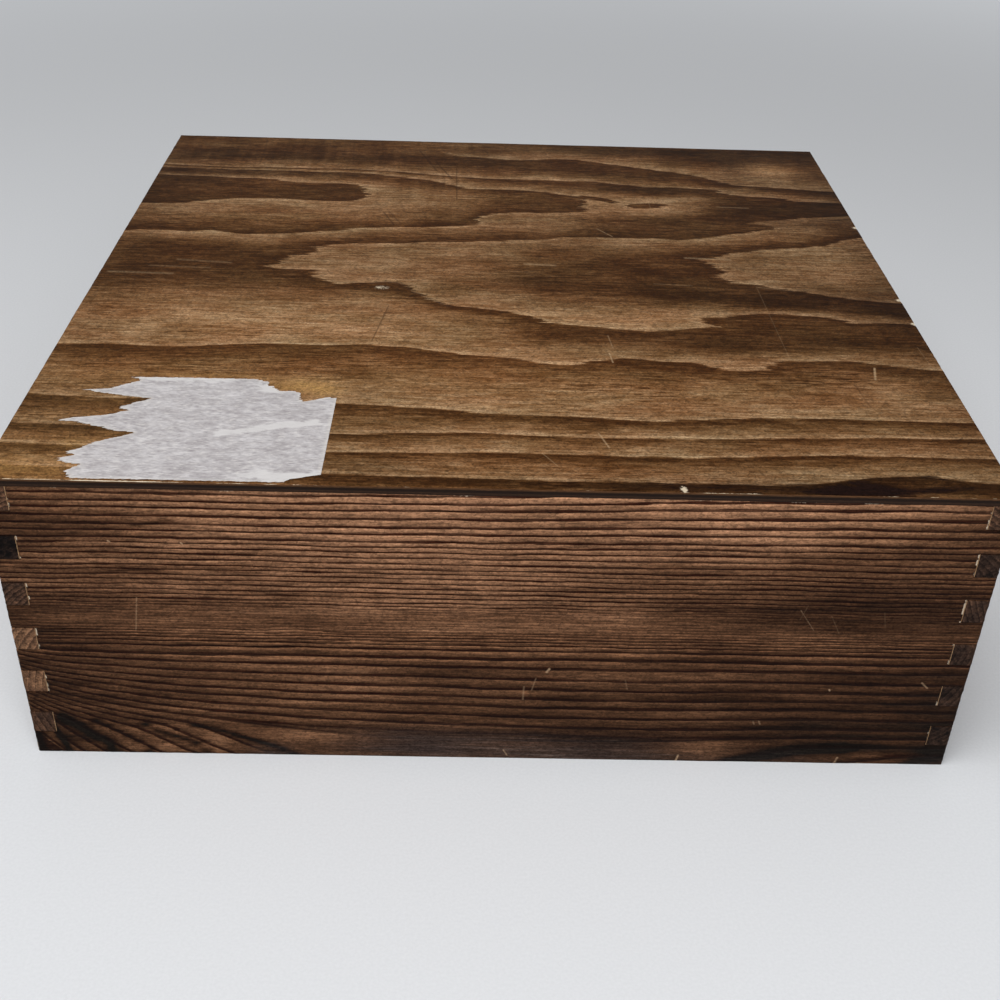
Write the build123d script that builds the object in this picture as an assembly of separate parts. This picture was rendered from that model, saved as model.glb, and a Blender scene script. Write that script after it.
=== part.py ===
from build123d import *

import os

# A square pine storage box with through box joints, a rebated plywood bottom and a lift-off plywood lid.
# Millimetres, +Z up. The origin is the middle of the underside, and the front board faces -Y.

# Overall form
box_width = 345.0
box_depth = 345.0

# Pine wall boards and the box joints at their corners
board_thickness = 8.5
finger_height = 10.0
fingers_per_corner = 12
joint_gap = 0.12
corner_ease = 0.9
underside_ease = 0.5

# Plywood bottom, let into a rebate that was routed after the walls were glued
bottom_thickness = 3.0
rebate_width = 4.2
rebate_corner_radius = 6.0
bottom_edge_gap = 0.2

# Plywood lid, flush with the walls on all four sides
lid_thickness = 3.0
lid_edge_ease = 0.4

# Cleats under the lid, which stiffen it and keep it in place on the walls
cleat_width = 20.0
cleat_height = 8.0
cleat_side_gap = 0.8
cleat_end_gap = 1.0
cleat_lead_in = 1.5

# Staples of flat wire, with their crowns sunk flush with the wood
wire_width = 1.2
wire_thickness = 0.6
staple_crown = 9.0
wire_gap = 0.04
bottom_staple_leg = 13.0
bottom_staples_per_side = 4
bottom_staple_end_margin = 42.0
cleat_staple_bite = 2.0
staples_per_cleat = 4
cleat_staple_end_margin = 30.0

# What is left of a torn paper label, from the front left corner of the lid. The right edge was cut
# straight, the back edge tore off in two steps and the left edge is ragged tongues.
paper_thickness = 0.15
label_front_and_right = [(30, 1.3), (100, 1.3), (101.7, 3.3), (107.5, 5), (111.7, 6.2), (112, 57.9)]
label_back = [
    (109.6, 58.7), (105.8, 57.1), (100, 55), (96.7, 62.5), (90, 62.5), (83.8, 70.2), (80, 71.2),
    (35, 70.8),
]
label_left_tongues = [
    (38.8, 68.8), (30, 62), (20, 60.4), (34.2, 57), (45, 55), (35.4, 47.9), (38.8, 45.8),
    (30, 42), (20.8, 40.4), (17.5, 38.3), (25.8, 36.7), (35, 32.9), (44.2, 30.7), (35, 25),
    (24.2, 17.5), (27.1, 15.4), (22.5, 13.3), (24.6, 11.2), (30.8, 10), (27.9, 5),
]

wall_height = finger_height * fingers_per_corner
half_width = box_width / 2
half_depth = box_depth / 2
inner_width = box_width - 2 * board_thickness
inner_depth = box_depth - 2 * board_thickness
bottom_seat = board_thickness - rebate_width
lid_top = wall_height + lid_thickness
cleat_underside = wall_height - cleat_height
cleat_middle = inner_width / 2 - cleat_side_gap - cleat_width / 2

ON_FLOOR = (Align.CENTER, Align.CENTER, Align.MIN)
FROM_OUTSIDE = (Align.CENTER, Align.MIN, Align.MIN)
LEFT, RIGHT = -1, 1


def rounded_slab(width, depth, height, radius):
    """A slab standing on z = 0 with rounded upright corners."""
    return extrude(RectangleRounded(width, depth, radius), height)


def lowest_edges(solid):
    """The outline of a solid's lowest face."""
    return solid.faces().sort_by(Axis.Z)[0].edges()


def jointed_board(length, first_pin_row):
    """A wall board along X with its outer face at y = 0. Every second row from the top is a pin."""
    board = Box(length, board_thickness, wall_height, align=FROM_OUTSIDE)
    reach = 2 * (board_thickness + joint_gap)
    notch = Box(reach, 3 * board_thickness, finger_height + joint_gap)
    notched_rows = [row for row in range(fingers_per_corner) if row % 2 != first_pin_row]
    for row in notched_rows:
        middle = wall_height - (row + 0.5) * finger_height
        for end in (LEFT, RIGHT):
            board -= Pos(end * length / 2, board_thickness / 2, middle) * notch
    return board


def wall_boards():
    """The four walls in place, eased and rebated as one frame."""
    front = Pos(0, -half_depth, 0) * jointed_board(box_width, first_pin_row=1)
    back = Rot(0, 0, 180) * front
    right = Rot(0, 0, 90) * Pos(0, -half_width, 0) * jointed_board(box_depth, first_pin_row=0)
    left = Rot(0, 0, 180) * right
    outside = rounded_slab(box_width, box_depth, wall_height, corner_ease)
    outside = chamfer(lowest_edges(outside), underside_ease)
    rebate = rounded_slab(
        box_width - 2 * bottom_seat, box_depth - 2 * bottom_seat, bottom_thickness, rebate_corner_radius
    )
    boards = {"front_board": front, "back_board": back, "left_board": left, "right_board": right}
    return {name: (board & outside) - rebate for name, board in boards.items()}


def bottom_panel():
    """The plywood bottom, a little smaller than its rebate and flush with the underside."""
    inset = bottom_seat + bottom_edge_gap
    radius = rebate_corner_radius - bottom_edge_gap
    return rounded_slab(box_width - 2 * inset, box_depth - 2 * inset, bottom_thickness, radius)


def lid_panel():
    """The plywood lid, with its corners and upper edge eased by sanding."""
    slab = rounded_slab(box_width, box_depth, lid_thickness, corner_ease)
    slab = fillet(slab.faces().sort_by(Axis.Z)[-1].edges(), lid_edge_ease)
    return Pos(0, 0, wall_height) * slab


def lid_cleat(side):
    """A cleat along Y beside a side wall, its lower edges bevelled to find the opening."""
    length = inner_depth - 2 * cleat_end_gap
    bar = Box(cleat_width, length, cleat_height, align=ON_FLOOR)
    bar = chamfer(lowest_edges(bar), cleat_lead_in)
    return Pos(side * cleat_middle, 0, cleat_underside) * bar


def staple(leg, grow=0.0):
    """A staple along X, legs up from a crown at z = 0. Grow widens it to cut its own seat."""
    wide = wire_width + 2 * grow
    thick = wire_thickness + 2 * grow
    crown = Box(staple_crown + 2 * grow, wide, wire_thickness + grow, align=ON_FLOOR)
    upright = Box(thick, wide, leg + grow, align=ON_FLOOR)
    reach = (staple_crown - wire_thickness) / 2
    return crown + Pos(-reach, 0, 0) * upright + Pos(reach, 0, 0) * upright


def evenly(count, reach):
    """Evenly spaced values from -reach to reach, both ends included."""
    return [reach * (2 * index / (count - 1) - 1) for index in range(count)]


def bottom_staple_places():
    """Places around the rim of the bottom panel, over the middle of the rebate's seat."""
    seat_middle = (bottom_seat + board_thickness) / 2
    places = []
    for side in (-1, 1):
        for x in evenly(bottom_staples_per_side, half_width - bottom_staple_end_margin):
            places.append(Pos(x, side * (half_depth - seat_middle), 0))
        for y in evenly(bottom_staples_per_side, half_depth - bottom_staple_end_margin):
            places.append(Pos(side * (half_width - seat_middle), y, 0) * Rot(0, 0, 90))
    return places


def cleat_staple_places():
    """Places along the underside of both cleats, on their middle lines."""
    rows = evenly(staples_per_cleat, inner_depth / 2 - cleat_staple_end_margin)
    return [
        Pos(side * cleat_middle, y, cleat_underside) * Rot(0, 0, 90)
        for side in (LEFT, RIGHT)
        for y in rows
    ]


def staple_set(places, leg, grow=0.0):
    """One staple at each place, as a group of separate solids."""
    return Compound(children=[place * staple(leg, grow) for place in places])


def torn_label():
    """The rest of the paper label, flat on the lid."""
    outline = label_front_and_right + label_back + label_left_tongues
    paper = extrude(make_face(Polyline(*outline, close=True)), paper_thickness)
    return Pos(-half_width, -half_depth, lid_top) * paper


def build():
    """Every piece of the box by node name."""
    nodes = wall_boards()
    nodes["bottom_panel"] = bottom_panel()
    nodes["lid_panel"] = lid_panel()
    nodes["lid_cleat_left"] = lid_cleat(LEFT)
    nodes["lid_cleat_right"] = lid_cleat(RIGHT)

    bottom_places = bottom_staple_places()
    nodes["bottom_staples"] = staple_set(bottom_places, bottom_staple_leg)
    seats = staple_set(bottom_places, bottom_staple_leg, wire_gap)
    for name in ("bottom_panel", "front_board", "back_board", "left_board", "right_board"):
        nodes[name] = nodes[name] - seats

    cleat_leg = cleat_height + cleat_staple_bite
    cleat_places = cleat_staple_places()
    nodes["lid_staples"] = staple_set(cleat_places, cleat_leg)
    seats = staple_set(cleat_places, cleat_leg, wire_gap)
    for name in ("lid_panel", "lid_cleat_left", "lid_cleat_right"):
        nodes[name] = nodes[name] - seats

    nodes["torn_label"] = torn_label()
    return nodes


os.makedirs("parts", exist_ok=True)
for node_name, shape in build().items():
    export_step(shape, f"parts/{node_name}.step")
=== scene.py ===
import math

import bpy
import numpy as np
from bpy.props import FloatProperty, FloatVectorProperty, IntProperty, PointerProperty
from mathutils import Euler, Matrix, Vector
from mathutils.geometry import delaunay_2d_cdt


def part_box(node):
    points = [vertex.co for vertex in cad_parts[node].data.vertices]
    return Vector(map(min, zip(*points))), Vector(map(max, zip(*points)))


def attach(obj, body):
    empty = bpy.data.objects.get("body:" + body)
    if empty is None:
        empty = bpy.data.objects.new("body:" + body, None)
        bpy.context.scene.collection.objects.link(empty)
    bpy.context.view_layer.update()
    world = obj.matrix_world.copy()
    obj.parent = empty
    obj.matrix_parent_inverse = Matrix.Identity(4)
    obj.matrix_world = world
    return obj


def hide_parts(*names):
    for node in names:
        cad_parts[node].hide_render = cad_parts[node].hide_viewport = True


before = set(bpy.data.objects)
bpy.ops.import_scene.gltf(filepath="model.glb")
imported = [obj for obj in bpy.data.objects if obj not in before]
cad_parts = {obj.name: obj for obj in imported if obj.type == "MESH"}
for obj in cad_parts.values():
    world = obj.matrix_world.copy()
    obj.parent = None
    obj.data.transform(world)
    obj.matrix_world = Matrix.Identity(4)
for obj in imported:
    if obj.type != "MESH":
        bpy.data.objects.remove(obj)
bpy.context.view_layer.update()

# The looks of a square pine storage box with box joints: flamed and brushed pine walls, a flamed plywood
# lid with what is left of a paper label, and bare wood inside. Grain is worked out in millimetres in each
# piece's own place (u along it, v down its face, w into it), and only the finished meshes are in metres.

bl_info = {
    "name": "Box-jointed Storage Box",
    "version": (1, 0, 0),
    "blender": (4, 5, 0),
    "location": "3D View > Sidebar > Storage Box",
    "description": "Dresses a box-jointed pine storage box in flamed wood, bare wood, wire and paper",
    "category": "Object",
}

IN_MM = 1000.0

# Each wall's noise is read this many mm from the next one's, and the lid's far from all of them
WALLS_APART = 400.0
LID_PLACE = (0.0, 2000.0, 0.0)
# First seed of the walls' wear
WALL_SEED = 40

# Metres from the middle of the floor to its edge
FLOOR_HALF = 6.0
# A pinhole camera fitted to the photograph's outline and finger lines, in mm, metres and degrees
CAMERA_LENS, CAMERA_SENSOR = 47.277, 36.0
CAMERA_PLACE = (-0.01111, -0.53420, 0.36045)
CAMERA_TURN = (56.221, -1.686, -0.456)

# Directions of a cell's six sides in a slab
BACK_U, AHEAD_U, BACK_V, AHEAD_V, OUTSIDE, INSIDE = range(6)


def linear(hex_colour):
    """An sRGB hex colour as linear red, green and blue."""
    parts = [int(hex_colour[i : i + 2], 16) / 255 for i in (1, 3, 5)]
    return tuple(c / 12.92 if c <= 0.04045 else ((c + 0.055) / 1.055) ** 2.4 for c in parts)


def size_of(node):
    """A CAD node's width, depth and height in metres."""
    low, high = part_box(node)
    return high - low


def length_setting(name, description, default):
    return FloatProperty(name=name, description=description, default=default, unit="LENGTH", precision=5)


def power_setting(name, description, default):
    return FloatProperty(name=name, description=description, default=default, unit="POWER")


def colour_setting(name, description, default):
    return FloatVectorProperty(
        name=name, description=description, default=linear(default), subtype="COLOR", size=3, min=0, max=1
    )


class BoxSizes(bpy.types.PropertyGroup):
    """Sizes of the wooden pieces."""

    width: length_setting("Width", "Outside of the box, left to right", size_of("front_board").x)
    wall_height: length_setting("Wall Height", "Floor to the top of the walls", size_of("front_board").z)
    board_thickness: length_setting("Board Thickness", "Pine wall boards", size_of("front_board").y)
    bottom_thickness: length_setting("Bottom Thickness", "Plywood in the rebate", size_of("bottom_panel").z)
    lid_thickness: length_setting("Lid Thickness", "Plywood lid", size_of("lid_panel").z)
    fingers: IntProperty(name="Fingers", description="Rows of the box joint at a corner", default=12, min=4)
    joint_gap: length_setting("Joint Gap", "Clearance at the cheeks of the fingers", 0.00012)
    joint_ease: length_setting("Joint Ease", "Brushed edges along the joints", 0.00035)
    corner_ease: length_setting("Corner Ease", "Sanded upright corners of the box", 0.0009)
    rebate_width: length_setting("Rebate Width", "Step that the bottom sits in", 0.0042)
    rebate_corner_radius: length_setting("Rebate Corner", "Radius that the router leaves", 0.006)


class PineFinish(bpy.types.PropertyGroup):
    """Flamed and brushed pine of the walls."""

    groove_depth: length_setting("Groove Depth", "Early wood brushed out between the ridges", 0.00018)
    early_light: colour_setting("Early Wood, Light", "Early wood where the flame barely caught it", "#956D51")
    early_brown: colour_setting("Early Wood, Brown", "Early wood, flamed", "#5D402C")
    early_char: colour_setting("Early Wood, Charred", "Early wood where the flame stayed", "#15100C")
    late_light: colour_setting("Late Wood, Light", "Ring lines where the flame barely caught them", "#270B03")
    late_char: colour_setting("Late Wood, Charred", "Ring lines where the flame stayed", "#120906")
    bare: colour_setting("Bare Pine", "Planed pine inside the box", "#C49F75")


class PlywoodFinish(bpy.types.PropertyGroup):
    """Flamed face veneer of the lid."""

    tooth_mm: FloatProperty(
        name="Tooth",
        description="How far the figure's edges run out along the grain, mm",
        default=20.0,
        min=0,
    )
    bare: colour_setting("Bare Veneer", "Underside of the lid and both sides of the bottom", "#C6A47B")


class StageLight(bpy.types.PropertyGroup):
    """Plain soft studio light."""

    top_watts: power_setting("Top", "Large soft light above", 18.5)
    front_watts: power_setting("Front", "Soft light beside the camera", 6.3)
    world_strength: FloatProperty(
        name="Surround", description="Even light from all round", default=0.26, min=0
    )


def smooth_step(x):
    """0 below 0, 1 above 1 and an S between."""
    x = np.clip(x, 0, 1)
    return x * x * (3 - 2 * x)


def lumps(seed, x, y, size_x, size_y):
    """Seeded smooth noise from -1 to 1 with lumps of about these sizes."""
    table = np.random.RandomState(seed).uniform(-1, 1, (256, 256))
    x = np.asarray(x, float) / size_x
    y = np.asarray(y, float) / size_y
    i = np.floor(x).astype(int)
    j = np.floor(y).astype(int)
    a = smooth_step(x - i)
    b = smooth_step(y - j)
    near = table[i & 255, j & 255] * (1 - a) + table[(i + 1) & 255, j & 255] * a
    far = table[i & 255, (j + 1) & 255] * (1 - a) + table[(i + 1) & 255, (j + 1) & 255] * a
    return near * (1 - b) + far * b


def blots(x, y, patches):
    """Sum of soft oval patches, each (middle x, middle y, half width, half height, amount)."""
    total = np.zeros(np.shape(x))
    for middle_x, middle_y, half_x, half_y, amount in patches:
        far = ((x - middle_x) / half_x) ** 2 + ((y - middle_y) / half_y) ** 2
        total += amount * np.exp(-far)
    return total


def distance_to_line(x, y, points):
    """Distance of each place to a line through points."""
    nearest = np.full(np.shape(x), 1e9)
    for (x0, y0), (x1, y1) in zip(points[:-1], points[1:]):
        run = np.array([x1 - x0, y1 - y0], float)
        along = np.clip(((x - x0) * run[0] + (y - y0) * run[1]) / (run @ run), 0, 1)
        nearest = np.minimum(nearest, np.hypot(x - x0 - along * run[0], y - y0 - along * run[1]))
    return nearest


def late_wood(ring):
    """0 in the early wood to 1 in the dark line that ends each ring."""
    share = ring - np.floor(ring)
    return np.interp(share, [0, 0.4, 0.64, 0.76, 0.95, 1.0], [0, 0.05, 0.26, 0.95, 1.0, 0])


# How wide the front board's level rings are, in mm, at these depths below its top edge. They are broad at
# the top, and so fine below the middle that they show as a plain stripe
LEVEL_RING_DEPTHS = (0, 15, 20, 44, 48, 62, 65)
LEVEL_RING_WIDTHS = (3, 3, 2.3, 2, 1.3, 1.3, 2)
LEVEL_RING_SPREAD = 0.14
LEVEL_RINGS_TOP, LEVEL_RINGS_BOTTOM = -7, 68
# The uppermost of them climb this far to the right
FRONT_CLIMB = 4.7
# Below them the ring lines fan out from the left end, where a branch was near. In mm: where the first one
# lies, how far apart they are at the left end and in the middle, and over what length they spread
FAN_TOP, FAN_TOP_DIP, FAN_TOP_REACH = 70.2, 2.2, 10
FAN_GAP_LEFT, FAN_GAP_MIDDLE, FAN_REACH = 2.0, 4.9, 65
FAN_GAP_LESS_AT_RIGHT, FAN_GAP_SPREAD = 0.3, 0.1
FAN_LINES = 17
# From this one on they bend down, run out at the bottom edge and come back in at the right
FAN_FIRST_BENT = 9
FAN_BEND_LEFT, FAN_BEND_RIGHT = 60, 290
FAN_STEP_LEFT, FAN_STEP_RIGHT = 11, 35
FAN_FALL, FAN_RISE = 0.4, 0.2


def level_ring_lines():
    """Ring lines that run level, in mm below the top edge, one ring width after another."""
    random = np.random.RandomState(12)
    lines = [LEVEL_RINGS_TOP]
    while lines[-1] < LEVEL_RINGS_BOTTOM:
        width = np.interp(lines[-1], LEVEL_RING_DEPTHS, LEVEL_RING_WIDTHS)
        lines.append(lines[-1] + width * random.uniform(1 - LEVEL_RING_SPREAD, 1 + LEVEL_RING_SPREAD))
    return lines[:-1]


def fan_lines(u):
    """Depth in mm of each ring line of the fan, at each place along the board."""
    random = np.random.RandomState(13)
    top = FAN_TOP - FAN_TOP_DIP * np.exp(-u / FAN_TOP_REACH)
    gap = FAN_GAP_MIDDLE - (FAN_GAP_MIDDLE - FAN_GAP_LEFT) * np.exp(-u / FAN_REACH)
    gap = gap - FAN_GAP_LESS_AT_RIGHT * smooth_step((u - 220) / 80)
    lines = []
    for number in range(FAN_LINES):
        line = top + gap * (number + random.uniform(-FAN_GAP_SPREAD, FAN_GAP_SPREAD))
        bent = number - FAN_FIRST_BENT
        if bent >= 0:
            fall = FAN_FALL * (u - FAN_BEND_LEFT + FAN_STEP_LEFT * bent)
            rise = FAN_RISE * (FAN_BEND_RIGHT + FAN_STEP_RIGHT * bent - u)
            line = line + np.clip(np.minimum(fall, rise), 0, None)
        lines.append(line)
    return lines


def front_rings(u, v, w):
    """Ring count of the front board, from its ring lines. The uppermost climb to the right."""
    climb = FRONT_CLIMB * np.clip(1 - v / 31, 0, 1) * smooth_step((u - 90) / 240)
    wave = 0.30 * lumps(11, u, v, 46, 30) + 0.22 * lumps(12, u, v, 17, 12)
    depth = w * np.interp(v, [0, 15, 50, 66, 90, 120], [1.5, 1.0, 0.2, 0.5, 2.0, 2.8])
    level = v + climb + wave + depth
    lines = [np.full(np.shape(u), line) for line in level_ring_lines()]
    lines += fan_lines(u)
    count = np.zeros(np.shape(u))
    upper = lines[0]
    for line in lines[1:]:
        lower = np.maximum(line, upper + 0.8)
        count += np.clip((level - upper) / (lower - upper), 0, 1)
        upper = lower
    # The dark of a line ends a little past it
    return count - 0.13


def log_rings(pith_v, pith_w, ring_width, seed):
    """Ring count of a flat-sawn board whose pith lies at pith_v down and pith_w behind its face."""

    def rings(u, v, w):
        across = v - pith_v - 5 * lumps(seed, u, u * 0, 130, 1)
        behind = pith_w - w + 7 * lumps(seed + 1, u, u * 0, 210, 1) + 0.022 * u
        far = np.hypot(across, behind)
        far = far + 0.9 * lumps(seed + 2, u, v, 60, 9) + 2.0 * lumps(seed + 3, far, far * 0, 11, 1)
        return far / ring_width

    return rings


# Smoky strokes on the front, each (half width, amount, points)
FRONT_SMOKE = (
    (1.1, 0.60, ((60, 105.4), (70, 107.6), (76, 110.3), (82, 112.4), (92, 116.5), (97, 120))),
    (1.0, 0.50, ((41, 104.6), (46, 108.3), (53, 111), (60, 114), (64, 119))),
    (1.0, 0.45, ((24, 103.8), (30, 108), (36, 112), (41, 116.5), (43, 121))),
    (2.3, 0.60, ((12, 102.6), (17, 106.4), (22, 110.6), (27, 114.5), (30, 121))),
    (1.2, 0.50, ((7.5, 106.5), (9.5, 112), (11, 116), (12.5, 121))),
    (1.6, 0.50, ((0, 107), (1, 113), (3, 121))),
    (2.3, 0.80, ((262, 120), (275, 116.6), (287, 113.6), (298, 112.6), (306, 112.2))),
    (0.9, 0.50, ((300, 112.5), (312, 111.1), (322, 111.4))),
    (3.0, 0.35, ((330, 121), (345, 114))),
    (0.6, 0.45, ((49, 14.4), (54, 13.7), (60, 12.4))),
    (0.5, 0.35, ((38, 33.8), (56, 33.3))),
    (0.5, 0.25, ((74, 33.2), (90, 33.6))),
)


def front_scorch_and_shade(u, v):
    """How deep the flame went on the front, 0 barely to 1 charred."""
    base = np.interp(v, [0, 30, 46, 58, 66, 100, 120], [0.17, 0.18, 0.30, 0.38, 0.46, 0.50, 0.52])
    base += 0.28 * np.exp(-(u / 70) ** 2) * np.interp(v, [0, 60, 95, 120], [1, 0.8, 0.6, 0.4])
    for half_width, amount, points in FRONT_SMOKE:
        base += amount * np.exp(-(distance_to_line(u, v, points) / half_width) ** 2)
    # Most patches are scorch. Those toward the right end are partly painted shade where the light fell off,
    # and the pale one at 140 mm is a painted highlight
    return base + blots(u, v, (
        (172, 108, 60, 5, 0.14), (315, 42, 62, 15, 0.38), (340, 24, 60, 18, 0.18), (345, 92, 100, 32, 0.30),
        (215, 92, 60, 18, 0.06), (252, 114, 13, 5, -0.32), (68, 114, 6, 7, -0.30), (98, 110, 15, 4.5, -0.20),
        (52, 106, 8, 2.5, -0.14), (36, 117, 4, 3.5, -0.22), (48, 117, 4, 3, -0.22), (326, 116, 16, 3, -0.26),
        (6, 114, 3.2, 4.6, -0.42), (24, 15, 26, 6, 0.14), (100, 82, 44, 14, -0.04), (270, 10, 50, 8, -0.05),
        (12, 114, 16, 8, 0.12), (140, 30, 50, 26, -0.12), (240, 40, 40, 16, 0.10), (345, 8, 44, 14, 0.20),
        (320, 113, 50, 8, 0.14), (45, 33, 30, 2.2, 0.14), (4, 113, 12, 8, 0.16), (340, 78, 14, 24, 0.12),
        (340, 112, 12, 8, 0.14), (70, 97, 26, 8, -0.16), (285, 37, 24, 8, 0.10), (225, 1, 42, 1.6, -0.24),
    ))


def front_soot(u, v):
    """Grey soot that stayed in the grain low on the front, 0 to 1."""
    return np.clip(blots(u, v, (
        (140, 115, 26, 8, 0.85), (165, 110, 30, 5, 0.30), (202, 118, 42, 7, 1.1), (89, 120, 8, 4.5, 0.9),
        (283, 118, 14, 3, 0.4), (340, 120, 8, 5, 0.4),
    )), 0, 1)


def other_scorch(seed, low_scorch):
    """Scorch of a board that the photograph doesn't show, darker towards its foot."""

    def scorch(u, v):
        foot = low_scorch * smooth_step((v - 55) / 65)
        return 0.26 + foot + 0.16 * lumps(seed, u, v, 110, 26) + 0.08 * lumps(seed + 1, u, v, 40, 9)

    return scorch


# Ring lines of the lid's face veneer, in mm from its left and back edges, each with its ring count. The
# count rises by one across a line, and the surface between them is smooth.
LID_LINES = (
    (2, ((0, -12), (60, -10), (110, -6), (134, 2), (143, 16), (150, 22), (170, 24), (183, 27), (197, 24),
         (212, 22.5),
         (226, 27), (240, 31), (255, 36), (270, 40), (281, 46), (288, 53), (296, 57), (312, 57), (345, 62))),
    (2, ((345, 122), (335, 126), (326, 132), (312, 137), (300, 138), (285, 143), (275, 146), (276, 149),
         (261, 151), (271, 155), (268, 160), (276, 165), (268, 171), (274, 174), (270, 179), (283, 177),
         (292, 181), (305, 185), (317, 189), (330, 192), (345, 194))),
    (3, ((0, 46.5), (30, 47.5), (60, 47), (85, 46.6), (105, 47), (122, 49), (140, 51.5), (158, 54),
         (180, 55), (205, 55),
         (222, 55), (232, 58), (245, 61), (265, 61), (281, 62), (286, 66), (292, 70), (305, 71), (316, 72),
         (320, 76), (345, 77))),
    (3, ((345, 96), (320, 99), (312, 103), (298, 105), (289, 107), (299, 109), (308, 112), (305, 115),
         (295, 118), (283, 122), (275, 126), (263, 129), (255, 131), (245, 129), (233, 130), (222, 130),
         (204, 130), (198, 132), (190, 134), (178, 136), (165, 138), (140, 140), (125, 143), (110, 143),
         (97, 145), (90, 147), (94, 151), (92, 156), (79, 160), (78, 166), (70, 169), (73, 173), (94, 172),
         (96, 175), (88, 178), (97, 183), (104, 188), (118, 185), (128, 183), (133, 187), (136, 194),
         (143, 200), (149, 206), (160, 208), (172, 210), (180, 213), (188, 216), (190, 220), (205, 222),
         (222, 225), (234, 227), (240, 225), (252, 223), (261, 220), (257, 217), (252, 212), (262, 212),
         (272, 209), (280, 207), (292, 207), (308, 209), (316, 212), (320, 215), (330, 213), (345, 214))),
    (4, ((0, 49.5), (30, 50.5), (50, 50.5), (70, 51), (105, 51.5), (118, 54), (130, 57), (141, 60),
         (148, 65), (156, 70),
         (178, 70), (192, 71), (205, 75), (213, 80), (216, 87), (213, 93), (215, 98), (205, 99), (197, 101),
         (180, 101), (168, 104), (161, 111), (163, 117), (150, 121), (130, 123), (110, 125), (100, 128),
         (90, 131), (75, 134), (60, 136), (48, 136), (40, 131), (30, 135), (20, 134), (8, 133), (0, 136))),
    (4, ((236, 89), (239, 86), (244, 84.6), (250, 85.5), (247, 89), (242, 91.5), (236, 89))),
    (4, ((216, 74.5), (221, 76), (227, 80), (234, 83.5), (231, 86), (225, 84), (219, 79.5), (216, 74.5))),
    (4, ((0, 249), (20, 247), (45, 249), (60, 247), (80, 244), (105, 245), (120, 243), (135, 245),
         (150, 248), (165, 251), (178, 252), (187, 256), (200, 257), (208, 253), (222, 250), (235, 252),
         (248, 252), (255, 257), (262, 259), (275, 258), (277, 254), (284, 249), (292, 250), (305, 248),
         (315, 249), (325, 252), (345, 255))),
    (5, ((0, 60), (30, 62), (62, 63), (66, 67), (85, 68), (97, 66), (104, 70), (108, 75), (104, 79),
         (110, 84), (104, 87), (103, 92), (90, 92), (60, 90), (45, 91), (32, 95), (20, 99), (0, 101))),
    (5, ((0, 288), (30, 290), (60, 289), (112, 290.5), (150, 293), (175, 296.3), (205, 297), (222, 298.8),
         (232, 299), (237, 297.4), (262, 295), (293, 294), (345, 295))),
    (6, ((0, 309), (40, 310), (112, 312), (160, 309), (200, 311), (250, 310), (300, 307), (345, 306))),
    (7, ((0, 322), (60, 324), (112, 324), (180, 322), (240, 323), (290, 319), (345, 320))),
    (8, ((0, 336), (60, 337), (120, 338), (170, 339), (230, 339.5), (270, 339), (285, 336.5), (296, 333.5),
         (306, 332.2), (316, 331.6), (326, 333.6), (345, 337))),
)
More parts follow.
